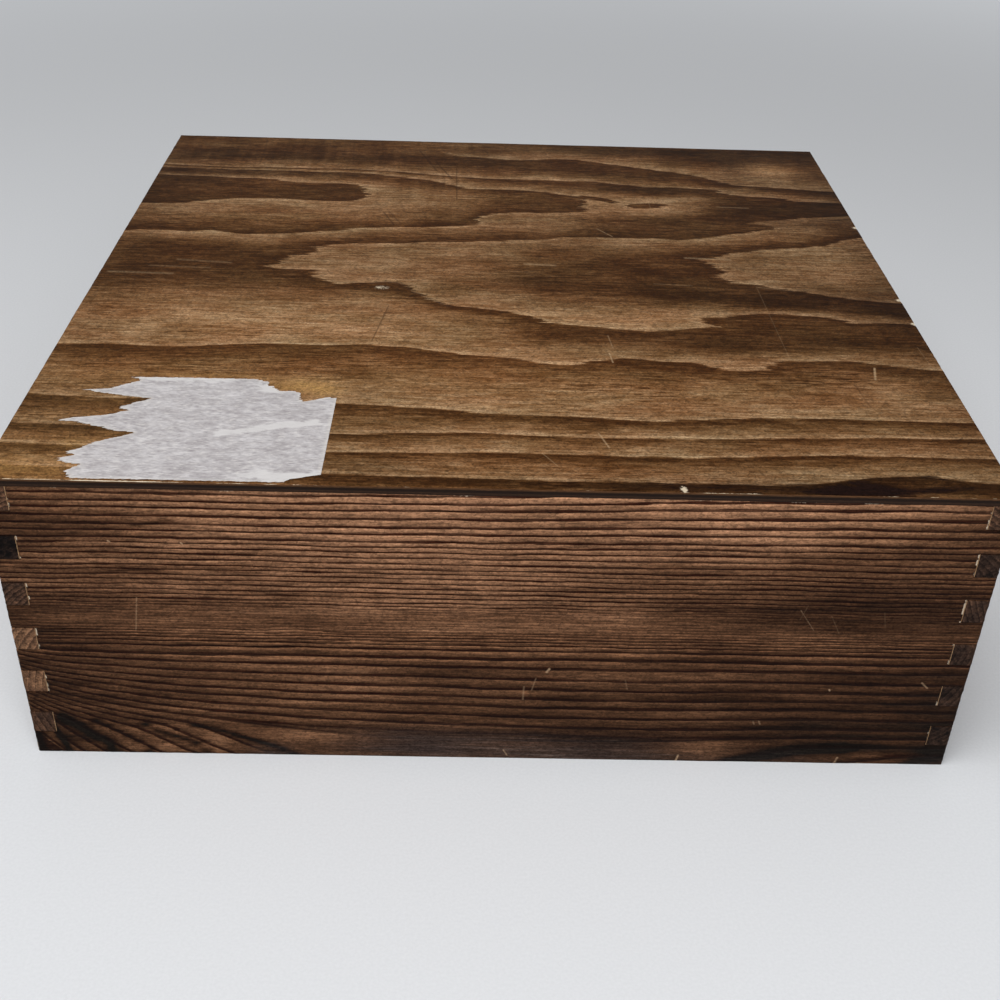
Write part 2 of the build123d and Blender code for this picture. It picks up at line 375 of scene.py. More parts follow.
# Ring counts at places between the lines, which say how a ring's tone spreads
LID_SPOTS = (
    (2.16, ((190, 34), (210, 33), (205, 42), (228, 40), (245, 46), (265, 50), (320, 66), (340, 69))),
    (2.26, ((185, 47), (210, 48), (228, 49), (255, 54), (278, 57))),
    (2.85, ((190, 53), (215, 53.3), (245, 59.3), (268, 60))),
    (1.90, ((200, 16), (225, 19), (250, 29), (280, 36), (315, 50), (340, 55))),
    (1.20, ((200, 4), (240, 8), (270, 12), (300, 10), (335, 12), (285, 24), (270, 30))),
    (1.55, ((190, 13), (215, 13), (250, 20), (275, 31), (300, 42), (330, 50))),
    (1.85, ((312, 31), (322, 33))),
    (1.55, ((340, 35), (300, 20))),
    (2.20, ((20, 4), (60, 4), (100, 6), (10, 14), (50, 16), (90, 16), (20, 28), (60, 30), (100, 28),
            (120, 30))),
    (2.30, ((15, 37), (50, 37), (85, 36), (110, 37), (130, 40))),
    (2.72, ((15, 41.5), (50, 41), (85, 40.5), (110, 42), (132, 46))),
    (3.92, ((70, 49.6), (90, 49.8), (108, 50))),
    (4.08, ((10, 55), (40, 56.5), (70, 58), (95, 58), (112, 60), (125, 63))),
    (4.80, ((10, 59), (35, 60.4), (60, 61.6))),
    (3.12, ((180, 60), (205, 61), (225, 63), (240, 67.5), (258, 69), (274, 70), (286, 75), (284, 86),
            (276, 95))),
    (3.08, ((300, 76), (330, 82), (310, 88), (335, 90), (290, 85), (285, 95))),
    (3.92, ((222, 92), (232, 96), (250, 96), (262, 84), (255, 79), (240, 79), (225, 99), (268, 82), (236, 84),
            (219, 86), (272, 90))),
    (3.84, ((213, 73.5), (232, 77), (250, 76.5), (268, 77), (268, 86), (262, 95), (240, 99), (220, 101))),
    (3.25, ((228, 71), (247, 72.5), (265, 73.5), (276, 78), (273, 90), (266, 102), (250, 105))),
    (4.06, ((223, 80), (228, 83), (243, 88))),
    (3.20, ((232, 106), (250, 106), (270, 104), (240, 118), (260, 120), (228, 122), (275, 114))),
    (3.55, ((215, 106), (205, 115), (190, 118))),
    (3.30, ((180, 126), (200, 127))),
    (4.15, ((120, 64), (138, 68), (190, 80), (205, 86), (195, 94), (180, 88), (208, 94))),
    (4.90, ((113, 74), (118, 84), (112, 92), (128, 82), (135, 88))),
    (4.45, ((152, 84), (160, 92), (145, 104), (150, 112))),
    (4.92, ((20, 104), (50, 96), (80, 96), (105, 97))),
    (4.50, ((30, 116), (60, 112), (90, 112), (120, 108))),
    (4.12, ((60, 129), (85, 126), (110, 119), (25, 129), (140, 117))),
    (5.12, ((20, 70), (50, 72), (80, 76), (95, 76), (30, 88), (70, 84), (95, 86), (10, 80))),
    (3.80, ((20, 137), (60, 139), (90, 135))),
    (3.40, ((130, 130), (110, 134))),
    (3.10, ((20, 148), (50, 150), (75, 150), (20, 165), (45, 165), (60, 165), (20, 182), (50, 184),
            (80, 186))),
    (3.30, ((60, 190), (90, 193), (20, 194), (115, 193))),
    (3.75, ((50, 205), (90, 206), (130, 203), (150, 214))),
    (3.88, ((30, 225), (70, 225), (110, 225), (140, 228), (60, 240), (120, 238), (10, 238))),
    (3.55, ((10, 212), (165, 222))),
    (3.12, ((200, 230), (240, 233), (280, 222), (300, 222), (320, 228), (335, 232), (270, 232), (300, 235))),
    (3.30, ((205, 239), (235, 241), (262, 243), (290, 240), (320, 242), (338, 244))),
    (3.30, ((180, 222), (185, 238))),
    (3.85, ((180, 247), (220, 246), (250, 247), (270, 250), (300, 244), (335, 246))),
    (2.90, ((110, 150), (130, 158), (110, 178), (125, 172), (85, 168), (150, 150), (190, 137), (230, 134),
            (260, 135))),
    (2.60, ((155, 175), (150, 190), (280, 134), (320, 118), (330, 108))),
    (2.90, ((165, 200), (200, 208), (220, 214), (240, 214), (200, 216), (258, 206), (280, 205.8),
            (310, 207.2), (335, 212))),
    (2.16, ((272, 200), (288, 200.5), (305, 201), (322, 205), (340, 207))),
    (2.35, ((185, 150), (210, 150), (240, 145), (180, 170), (300, 130))),
    (2.12, ((210, 170), (240, 165), (260, 172), (230, 185), (255, 188), (280, 188), (300, 192), (320, 197),
            (340, 200), (200, 182), (215, 190), (245, 196))),
    (1.90, ((285, 150), (290, 165), (300, 150), (320, 145), (295, 175), (320, 160), (340, 145))),
    (1.60, ((330, 178), (340, 170))),
    (4.15, ((40, 254), (70, 252), (110, 251), (140, 254), (225, 256), (290, 254))),
    (4.45, ((40, 268), (90, 268), (150, 268), (200, 268), (250, 270), (300, 266), (330, 268))),
    (4.75, ((60, 280), (140, 280), (200, 282), (260, 282), (320, 280))),
)
# A split in the veneer along one of the lines, with a drop of glue at its left end
LID_SPLIT = ((117, 185), (124, 183), (131, 185), (136, 193), (144, 200), (151, 206))


def lid_ring_surface(size, step=2.5, squeeze=0.45, smoothing=0.3):
    """Ring count over the lid on a square grid: a smooth surface through the lines and spots."""
    places = []
    counts = []
    for count, points in LID_LINES:
        for (x0, y0), (x1, y1) in zip(points[:-1], points[1:]):
            pieces = max(1, round(math.hypot(x1 - x0, y1 - y0) / 5))
            for piece in range(pieces):
                share = piece / pieces
                places.append((x0 + (x1 - x0) * share, y0 + (y1 - y0) * share))
                counts.append(count)
        places.append(points[-1])
        counts.append(count)
    for count, points in LID_SPOTS:
        places.extend(points)
        counts.extend([count] * len(points))
    # Grain runs along the lid, so a place counts as nearer along x than along y
    known = np.array(places, float) * (squeeze, 1)
    total = len(known)
    system = np.ones((total + 1, total + 1))
    system[total, total] = 0
    system[:total, :total] = np.hypot(*(known[:, None] - known[None]).transpose(2, 0, 1))
    system[:total, :total] -= smoothing * np.eye(total)
    weights = np.linalg.solve(system, np.append(counts, 0))
    marks = np.arange(0, size + step, step)
    rows = []
    for y in marks:
        far = np.hypot(marks[:, None] * squeeze - known[None, :, 0], y - known[None, :, 1])
        rows.append(far @ weights[:-1] + weights[-1])
    return marks, np.array(rows)


def surface_at(marks, rows, x, y):
    """Straight interpolation in a square grid."""
    step = marks[1] - marks[0]
    i = np.clip((x / step).astype(int), 0, len(marks) - 2)
    j = np.clip((y / step).astype(int), 0, len(marks) - 2)
    a = np.clip(x / step - i, 0, 1)
    b = np.clip(y / step - j, 0, 1)
    near = rows[j, i] * (1 - a) + rows[j, i + 1] * a
    far = rows[j + 1, i] * (1 - a) + rows[j + 1, i + 1] * a
    return near * (1 - b) + far * b


# Hairlines on the lid, each (start x, start y, end x, end y, half width, strength)
LID_PALE_HAIRLINES = (
    (215.6, 231, 216.8, 242, 0.25, 0.3), (215, 246, 215.8, 254, 0.3, 0.6), (318, 254, 316, 263.5, 0.4, 0.7),
    (206.5, 308, 209.5, 317.5, 0.3, 0.5), (284.3, 180, 286, 247, 0.2, 0.13), (219, 119, 225.5, 128, 0.3, 0.4),
    (31, 166, 54, 168, 0.8, 0.18), (20, 173, 46, 174, 0.6, 0.16), (4, 180.3, 31, 181, 0.8, 0.26),
    (281, 87, 296, 87.5, 0.5, 0.3), (247, 75, 247.5, 101, 0.2, 0.2), (257, 151, 277, 151.8, 0.7, 0.4),
    (184, 162, 197, 162.8, 0.8, 0.34), (240, 180, 256, 181, 0.5, 0.16), (285, 181, 300, 184, 0.5, 0.2),
    (340, 235, 341, 251, 0.2, 0.15), (186, 322, 191, 330, 0.2, 0.3),
    (132, 284, 150, 286, 0.3, 0.3),
)
LID_DARK_HAIRLINES = (
    (126, 208, 121.5, 240, 0.28, 0.6), (131, 16, 141, 46, 0.5, 0.6), (140, 32, 149, 57, 0.5, 0.6),
    (151, 41, 152, 86, 0.35, 0.5), (117, 104, 123, 120, 0.4, 0.6), (119.5, 103, 126, 118, 0.3, 0.5),
    (15, 176, 18, 196, 0.25, 0.3), (95, 8, 97, 38, 0.4, 0.3), (48, 6, 49, 40, 0.4, 0.3),
    (110, 5, 112, 30, 0.3, 0.3), (307, 268, 309, 285, 0.4, 0.4),
)


def lid_scorch_and_shade(u, v):
    """How deep the flame went on the lid, 0 barely to 1 charred."""
    base = 0.44 + 0.09 * lumps(31, u, v, 90, 40)
    # Most of these are stains and scorch. Those along the left and right edges are partly painted shade where
    # the light fell off, and the faint pale one over the middle is a painted highlight
    marks = blots(u, v, (
        (70, 228, 85, 26, -0.30), (60, 268, 70, 16, -0.20), (45, 300, 60, 12, -0.06),
        (160, 262, 60, 30, -0.22),
        (250, 10, 70, 9, 0.36), (296, 28, 12, 22, 0.34), (60, 27, 90, 10, 0.26), (165, 9, 26, 12, 0.14),
        (345, 105, 14, 115, 0.20), (312, 10, 30, 14, 0.22), (312, 58, 24, 12, 0.16), (308, 192, 30, 16, 0.18),
        (310, 128, 30, 6, -0.10), (316, 106, 26, 8, 0.22), (12, 300, 24, 20, 0.16), (270, 341, 50, 5, 0.22),
        (40, 56, 70, 4.5, 0.26), (6, 110, 22, 100, 0.08), (128, 334, 18, 5, 0.25), (225, 342, 80, 3.2, 0.40),
        (250, 66, 46, 5, 0.22), (250, 190, 60, 14, 0.16), (335, 12, 40, 10, 0.20), (210, 38, 30, 10, 0.10),
        (60, 120, 80, 14, -0.14), (30, 190, 60, 20, 0.10), (5, 60, 40, 40, 0.14), (185, 180, 18, 10, 0.16),
        (215, 216, 46, 8, -0.24), (325, 88, 50, 14, 0.30), (260, 275, 70, 14, -0.14), (270, 235, 90, 9, 0.16),
        (318, 33, 13, 5.5, -0.52), (337, 54, 12, 9, -0.16),
        (345, 100, 40, 60, 0.14), (335, 200, 60, 24, 0.26), (0, 180, 26, 60, 0.12), (0, 290, 22, 16, 0.16),
        (150, 180, 50, 120, -0.04), (245, 88, 24, 11, -0.12), (6, 340, 30, 6, -0.34),
        (345, 290, 12, 60, 0.10),
        (122, 73, 10, 4, 0.10), (20, 310, 30, 5, 0.25), (30, 295, 24, 4, 0.2), (340, 45, 14, 34, 0.16),
        (342, 190, 14, 40, 0.14), (312, 10, 26, 12, 0.10), (262, 337, 44, 7, 0.12),
    ))
    # The flame charred the front edge in a ragged lens, and in a thin line that arches away from it
    upper = np.interp(u, [170, 280, 288, 297, 316, 327, 345], [343, 341, 336.6, 333.4, 331.6, 333.6, 337.6])
    lens = np.interp(u, [270, 288, 298, 312, 330, 345], [0, 0.8, 1, 0.75, 0.65, 0.3])
    charred = lens * smooth_step((v - upper + 2.2 * lumps(32, u, v, 10, 2.4)) / 1.2)
    charred *= 0.32 + 0.40 * lumps(33, u, v, 11, 1.7)
    arch = 0.36 * lens * np.exp(-((v - upper - 0.4) / 0.9) ** 2)
    return np.minimum(base + marks, 0.86) + charred + arch


def grid_lines(needed, filler, gap):
    """The needed lines, and those of the filler that aren't nearer than gap to another."""
    lines = list(needed)
    for place in filler:
        if min(abs(place - line) for line in lines) > gap:
            lines.append(place)
    return np.array(sorted(lines))


def carry(mesh, key, values):
    """Store a number or a vector at each point of a mesh, for its materials to read."""
    values = np.asarray(values, np.float32)
    kind, field = ("FLOAT", "value") if values.ndim == 1 else ("FLOAT_VECTOR", "vector")
    mesh.attributes.new(key, kind, "POINT").data.foreach_set(field, values.ravel())


def link_piece(name, mesh):
    """Check a mesh and put it in the scene."""
    if mesh.validate():
        raise RuntimeError(f"{name} has faulty faces")
    piece = bpy.data.objects.new(name, mesh)
    bpy.context.scene.collection.objects.link(piece)
    return piece


class Slab:
    """A board as the skin of a grid of cells. Its places are in mm: u along, v down the face, w into it."""

    def __init__(self, u_lines, v_lines, w_lines, present):
        lines = (u_lines, v_lines, w_lines)
        counts = [len(line) for line in lines]
        numbers = np.arange(np.prod(counts)).reshape(counts)
        padded = np.pad(present, 1)
        quads = []
        sides = []
        # Corners of each side, as steps from the cell's first corner, turning so that the side faces out
        corners = {
            BACK_U: ((0, 0, 0), (0, 0, 1), (0, 1, 1), (0, 1, 0)),
            AHEAD_U: ((1, 0, 0), (1, 1, 0), (1, 1, 1), (1, 0, 1)),
            BACK_V: ((0, 0, 0), (1, 0, 0), (1, 0, 1), (0, 0, 1)),
            AHEAD_V: ((0, 1, 0), (0, 1, 1), (1, 1, 1), (1, 1, 0)),
            OUTSIDE: ((0, 0, 0), (0, 1, 0), (1, 1, 0), (1, 0, 0)),
            INSIDE: ((0, 0, 1), (1, 0, 1), (1, 1, 1), (0, 1, 1)),
        }
        for side, steps in corners.items():
            shift = 1 if side % 2 else -1
            neighbour = np.roll(padded, -shift, side // 2)[1:-1, 1:-1, 1:-1]
            cells = np.argwhere(present & ~neighbour)
            quads.append(np.stack([numbers[tuple((cells + step).T)] for step in steps], 1))
            sides.append(np.full(len(cells), side))
        used, self.quads = np.unique(np.concatenate(quads), return_inverse=True)
        self.quads = self.quads.reshape(-1, 4)
        self.sides = np.concatenate(sides)
        index = np.unravel_index(used, counts)
        self.rest = np.stack([line[i] for line, i in zip(lines, index)], 1)
        self.place = self.rest.copy()
        self.on_side = np.zeros((len(used), 6), bool)
        for side in range(6):
            self.on_side[np.unique(self.quads[self.sides == side]), side] = True

    def ease_edges(self, ease, skip=None):
        """Pull the edge points in, so that each edge has a narrow slope as wide as the next grid line."""
        edges = self.on_side.sum(1) >= 2
        if skip is not None:
            edges &= ~skip
        for side in range(6):
            move = edges & self.on_side[:, side]
            self.place[move, side // 2] += (-0.3 if side % 2 else 0.3) * ease

    def round_edge(self, side_a, side_b, radius, ends):
        """Round the edge between two sides. Ends gives each side's place along its axis."""
        axis_a, axis_b = side_a // 2, side_b // 2
        sign_a, sign_b = (-1 if side_a % 2 else 1), (-1 if side_b % 2 else 1)
        a = (self.rest[:, axis_a] - ends[side_a]) * sign_a
        b = (self.rest[:, axis_b] - ends[side_b]) * sign_b
        near = (a < radius) & (b < radius) & ((a < 1e-6) | (b < 1e-6))
        turn = np.radians(45) * np.where(b < 1e-6, 1 - a / radius, 1 + b / radius)
        new_a = radius * (1 - np.sin(turn))
        new_b = radius * (1 - np.cos(turn))
        self.place[near, axis_a] += sign_a * (new_a - a)[near]
        self.place[near, axis_b] += sign_b * (new_b - b)[near]

    def build(self, name, to_world, materials, material_of_side, places):
        """The mesh object. Places are the named vectors that the materials read at each point."""
        mesh = bpy.data.meshes.new(name)
        mesh.vertices.add(len(self.place))
        mesh.vertices.foreach_set("co", (to_world(self.place) / IN_MM).ravel())
        mesh.loops.add(self.quads.size)
        mesh.loops.foreach_set("vertex_index", self.quads.ravel())
        mesh.polygons.add(len(self.quads))
        mesh.polygons.foreach_set("loop_start", np.arange(0, self.quads.size, 4))
        for material in materials:
            mesh.materials.append(material)
        mesh.polygons.foreach_set("material_index", material_of_side[self.sides])
        mesh.polygons.foreach_set("use_smooth", np.ones(len(self.quads), bool))
        mesh.update(calc_edges=True)
        mesh.set_sharp_from_angle(angle=math.radians(60))
        for key, vectors in places.items():
            carry(mesh, key, vectors)
        return link_piece(name, mesh)


def ring_figure(rings, u, v, w):
    """Ring count at each point, and how much it changes over a millimetre of u and of v."""
    here = rings(u, v, w)
    along = (rings(u + 0.5, v, w) - rings(u - 0.5, v, w))
    down = (rings(u, v + 0.1, w) - rings(u, v - 0.1, w)) / 0.2
    return np.stack([here, along, down], 1)


def wall_board(name, turn, first_pin_row, rings, scorch, end_scorch, chips, sizes, finish, materials):
    """One wall board with its fingers, rebate, brushed grain and worn edges."""
    length = sizes.width * IN_MM
    half = length / 2
    height = sizes.wall_height * IN_MM
    thick = sizes.board_thickness * IN_MM
    gap = sizes.joint_gap * IN_MM
    ease = sizes.joint_ease * IN_MM
    corner = sizes.corner_ease * IN_MM
    seat = thick - sizes.rebate_width * IN_MM
    rebate_top = height - sizes.bottom_thickness * IN_MM
    radius = sizes.rebate_corner_radius * IN_MM
    finger = height / sizes.fingers
    reach = thick + gap

    # Grid lines: every edge with a line at its ease, then fine rows for the grain
    arc = np.linspace(seat + 0.4, seat + radius, 7)
    near_end = np.concatenate([(0, 0.3, 0.6, corner, reach, reach + ease, seat), arc])
    u_lines = grid_lines(
        np.concatenate([near_end, length - near_end]),
        np.concatenate([
            np.arange(1.5, 16, 0.8), np.arange(17, length - 16, 3.6), length - np.arange(1.5, 16, 0.8)
        ]),
        0.25,
    )
    rows = np.arange(1, sizes.fingers) * finger
    cheeks = [rows + shift for shift in (-gap / 2 - ease, -gap / 2, gap / 2, gap / 2 + ease)]
    v_needed = np.concatenate([(0, ease, height - 0.5, height, rebate_top)] + cheeks)
    v_lines = grid_lines(v_needed, np.arange(0.7, height, 0.44), 0.2)
    w_lines = np.array([0, 0.3, 0.6, corner, 2.4, seat, 6.2, thick - ease, thick])

    middle = [(line[1:] + line[:-1]) / 2 for line in (u_lines, v_lines, w_lines)]
    u, v, w = np.meshgrid(*middle, indexing="ij")
    beyond = (u < reach) | (u > length - reach)
    present = np.ones(u.shape, bool)
    for row in range(sizes.fingers):
        if row % 2 != first_pin_row:
            notch = (v > row * finger - gap / 2) & (v < (row + 1) * finger + gap / 2)
            present &= ~(notch & beyond)
    present &= ~((v > rebate_top) & (w > seat) & (u > arc[0]) & (u < length - arc[0]))
    slab = Slab(u_lines, v_lines, w_lines, present)

    u, v, w = slab.rest.T
    from_end = np.minimum(u, length - u)
    outer_corner = slab.on_side[:, OUTSIDE] & (from_end < 0.01)
    slab.ease_edges(ease, skip=outer_corner)
    ends = {BACK_U: 0, AHEAD_U: length, OUTSIDE: 0}
    slab.round_edge(BACK_U, OUTSIDE, corner, ends)
    slab.round_edge(AHEAD_U, OUTSIDE, corner, ends)
    # The router leaves round corners in the rebate
    in_rebate = (v > rebate_top + 0.01) & (abs(w - seat) < 0.01)
    in_arc = in_rebate & (from_end < arc[-1]) & (from_end > arc[0] - 0.01)
    slab.place[in_arc, 2] = seat + radius - np.sqrt(radius**2 - (arc[-1] - from_end[in_arc]) ** 2)

    figure = ring_figure(rings, u, v, w)
    row = np.floor(v / finger).astype(int)
    across_joint = row % 2 != first_pin_row
    seed = WALL_SEED + turn
    # Fresh wood shows where brushing broke the edge of a shoulder
    shoulder = np.exp(-((from_end - reach - 0.15) / 0.42) ** 2) * across_joint
    if chips is not None:
        right_end = (u > half).astype(int)
        shoulder = shoulder * np.array(chips)[right_end, np.clip(row // 2, 0, sizes.fingers // 2 - 1)]
    broken = 0.40 + 1.5 * lumps(seed + 1, u, v, 30, 1.0) + 0.6 * lumps(seed + 2, u, v, 9, 4)
    raw = shoulder * smooth_step(broken)
    edge = np.minimum(v, height - v)
    edge_wear = np.exp(-(edge / 0.5) ** 2 - (w / 0.8) ** 2)
    raw += 0.75 * edge_wear * smooth_step(2.4 * lumps(seed + 3, u, v, 8, 9) - 1.0)
    corner_wear = np.exp(-(from_end / 0.6) ** 2 - (w / 0.6) ** 2)
    raw += 0.7 * corner_wear * smooth_step(2.2 * lumps(seed + 4, v, u, 5, 9) - 0.8)

    brushed = 0.6 + 0.4 * lumps(seed + 5, u, v, 30, 6)
    groove = finish.groove_depth * IN_MM * (1 - late_wood(figure[:, 0])) * brushed
    dent = 0.10 * smooth_step(2 * lumps(seed + 6, u, v, 24, 10) - 0.7) + 0.3 * raw
    face = slab.on_side[:, OUTSIDE]
    slab.place[face, 2] += np.clip(groove + dent, 0, 0.5)[face]
    for side, inward in ((BACK_U, 1), (AHEAD_U, -1)):
        tip = slab.on_side[:, side] & (from_end < 0.01)
        slab.place[tip, 0] += inward * (0.10 + 0.08 * lumps(seed + 7, v, w, 1.4, 1.1)[tip])

    # On the front the scorch also holds painted shade toward the ends and a painted highlight in the middle
    char_and_shade = scorch(u, v)
    if end_scorch is not None:
        near_front = u > length / 2 if turn == 3 else u < length / 2
        tip = (from_end < reach) & near_front
        char_and_shade = np.where(tip, np.array(end_scorch)[np.clip(row, 0, sizes.fingers - 1)], char_and_shade)
    strength = np.ones(len(u))
    # Strength of the painted highlights along the ridges' lower edges
    painted_glint = np.full(len(u), 0.2)
    soot = np.zeros(len(u))
    if turn == 0:
        # Below the middle the rings are so narrow that they show as thin ridges, which brushing polished, and
        # painted highlights along their edges stand in for the light they catch
        strength = np.interp(v, [0, 47, 51, 57, 59, 62.5, 120], [1, 1, 0.25, 0.25, 0.7, 1, 1])
        painted_glint = np.interp(v, [0, 50, 57, 60, 71, 75, 120], [0.3, 0.2, 0.5, 1, 1, 0.25, 0.15])
        soot = front_soot(u, v)
        strength = strength * (1 - 0.7 * soot)
    # The lid kept most of the flame off the walls' upper edges
    strength = np.where((edge < 0.01) & (w > 0.7), 0.5, strength)

    angle = math.radians(90 * turn)

    def to_world(place):
        x = place[:, 0] - half
        y = place[:, 2] - half
        return np.stack([
            x * math.cos(angle) - y * math.sin(angle),
            x * math.sin(angle) + y * math.cos(angle),
            height - place[:, 1],
        ], 1)

    places = {
        "place": slab.rest + (0, WALLS_APART * turn, 0),
        "figure": figure,
        "wear": np.stack([char_and_shade, raw, strength], 1),
        "marks": np.stack([painted_glint, soot, 0 * u], 1),
    }
    material_of_side = np.array([1, 1, 0, 0, 0, 2])
    return slab.build(name, to_world, materials, material_of_side, places)


def lid_board(name, sizes, materials):
    """The plywood lid with its veneer figure, split and worn edges."""
    length = sizes.width * IN_MM
    thick = sizes.lid_thickness * IN_MM
    top = sizes.wall_height * IN_MM + thick
    corner = sizes.corner_ease * IN_MM
    edge_ease = 0.4
    near = np.array([0, 0.2, edge_ease, corner, 1.5])
    split_u = np.arange(114, 154, 0.8)
    split_v = np.arange(180, 210, 0.7)
    ends = np.concatenate([near, length - near])
    u_lines = grid_lines(np.concatenate([ends, split_u]), np.arange(2.5, length - 2, 2.3), 0.5)
    v_lines = grid_lines(np.concatenate([ends, split_v]), np.arange(2.5, length - 2, 1.6), 0.4)
    w_lines = np.array([0, 0.2, edge_ease, 0.95, 2.05, thick - 0.3, thick])
    cells = [len(lines) - 1 for lines in (u_lines, v_lines, w_lines)]
    slab = Slab(u_lines, v_lines, w_lines, np.ones(cells, bool))

    u, v, w = slab.rest.T
    sides = {BACK_U: 0, AHEAD_U: length, BACK_V: 0, AHEAD_V: length, OUTSIDE: 0}
    for side in (BACK_U, AHEAD_U, BACK_V, AHEAD_V):
        slab.round_edge(side, OUTSIDE, edge_ease, sides)
    for side_u in (BACK_U, AHEAD_U):
        for side_v in (BACK_V, AHEAD_V):
            slab.round_edge(side_u, side_v, corner, sides)

    marks, rows = lid_ring_surface(length)

    def rings(u, v):
        return surface_at(marks, rows, np.clip(u, 0, length), np.clip(v, 0, length))

    figure = np.stack([
        rings(u, v),
        (rings(u + 2.5, v) - rings(u - 2.5, v)) / 5,
        (rings(u, v + 2.5) - rings(u, v - 2.5)) / 5,
    ], 1)
    split = np.exp(-((distance_to_line(u, v, LID_SPLIT) - 0.2) / 0.75) ** 2)
    glue = np.exp(-(((u - 122) / 4.6) ** 4 + ((v - 190.3) / 2.6) ** 4))
    from_side = np.minimum(np.minimum(u, length - u), np.minimum(v, length - v))
    rim = np.exp(-(from_side / 0.4) ** 2 - ((w - 0.1) / 0.3) ** 2)
    raw = rim * smooth_step(0.1 + 1.0 * lumps(61, u + v, u - v, 26, 26) + 0.9 * lumps(62, u + v, u - v, 4, 4))
    for chip_v in (110, 191, 214):
        raw += 1.5 * np.exp(-(((length - u) / 2.4) ** 2 + ((v - chip_v) / 1.5) ** 2 + (w / 0.9) ** 2))
    raw += 1.3 * np.exp(-(((u - 232.5 + 0.35 * (343 - v)) / 1.2) ** 2 + ((v - 343) / 2.6) ** 2))
    # The front edge lost its stain over its left fifth, and here and there beyond
    front_rim = np.exp(-((length - v) / 0.5) ** 2 - (w / 0.35) ** 2)
    raw += front_rim * np.interp(u, [0, 8, 62, 80, 345], [0.1, 1.0, 1.0, 0.25, 0.15])
    raw = raw + 0.64 * glue

    face = slab.on_side[:, OUTSIDE]
    sink = 0.06 + 0.05 * lumps(63, u, v, 60, 34) + 0.05 * late_wood(figure[:, 0])
    sink = sink + 0.22 * split + 0.25 * raw * rim
    slab.place[face, 2] += np.clip(sink, 0, 0.6)[face]
    worn = 0.10 + 0.08 * lumps(64, u + v, w, 9, 0.8)
    for side in (BACK_U, AHEAD_U, BACK_V, AHEAD_V):
        on = slab.on_side[:, side]
        slab.place[on, side // 2] += (-1 if side % 2 else 1) * (worn + 0.35 * np.clip(raw, 0, 1))[on]

    half = length / 2

    def to_world(place):
        return np.stack([place[:, 0] - half, half - place[:, 1], top - place[:, 2]], 1)

    # The scorch also holds painted shade along the side edges and a faint painted highlight in the middle
    char_and_shade = lid_scorch_and_shade(u, v) + 0.25 * split
    # The flame hid the figure here
    fade = np.clip(blots(u, v, (
        (150, 6, 30, 14, 1.3), (60, 10, 70, 12, 0.5), (302, 108, 16, 7, 0.5), (318, 10, 40, 13, 0.8),
    )), 0, 0.92)
    smears = 0.1 + blots(u, v, ((60, 25, 80, 30, 0.75), (150, 60, 40, 60, 0.45), (250, 40, 60, 40, 0.3)))
    dashes = 0.25 + blots(u, v, (
        (218, 276, 26, 8, 1.0), (290, 262, 40, 8, 1.0), (80, 262, 60, 9, 0.6), (20, 310, 30, 26, 0.8),
        (215, 340, 60, 5, 1.0), (30, 233, 40, 6, 0.6), (216, 108, 16, 4, 0.8),
    ))
    residue = blots(u, v, (
        (98, 278, 11, 5, 0.85), (107, 282, 6, 5, 0.55), (60, 272, 30, 1.5, 0.3), (8, 338, 24, 6, 0.45),
        (26, 322, 5, 4, 0.35), (40, 305, 60, 40, 0.14),
    ))
    places = {
        "place": slab.rest + LID_PLACE,
        "figure": figure,
        "wear": np.stack([char_and_shade, raw, fade], 1),
        "marks": np.stack([smears, dashes, residue], 1),
    }
    return slab.build(name, to_world, materials, np.array([1, 1, 1, 1, 0, 2]), places)


def paper_outline():
    """The label's outline in mm, in order, from the upper face of its CAD node."""
    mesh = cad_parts["torn_label"].data
    top = max(vertex.co.z for vertex in mesh.vertices)
    uses = {}
    for polygon in mesh.polygons:
        corners = [tuple(round(c * IN_MM, 3) for c in mesh.vertices[i].co) for i in polygon.vertices]
        if all(corner[2] > top * IN_MM - 0.01 for corner in corners):
            flat = [corner[:2] for corner in corners]
            for start, stop in zip(flat, flat[1:] + flat[:1]):
                uses[start, stop] = True
    follows = {start: stop for start, stop in uses if (stop, start) not in uses}
    outline = [min(follows)]
    while len(outline) < len(follows):
        outline.append(follows[outline[-1]])
    return outline, top * IN_MM


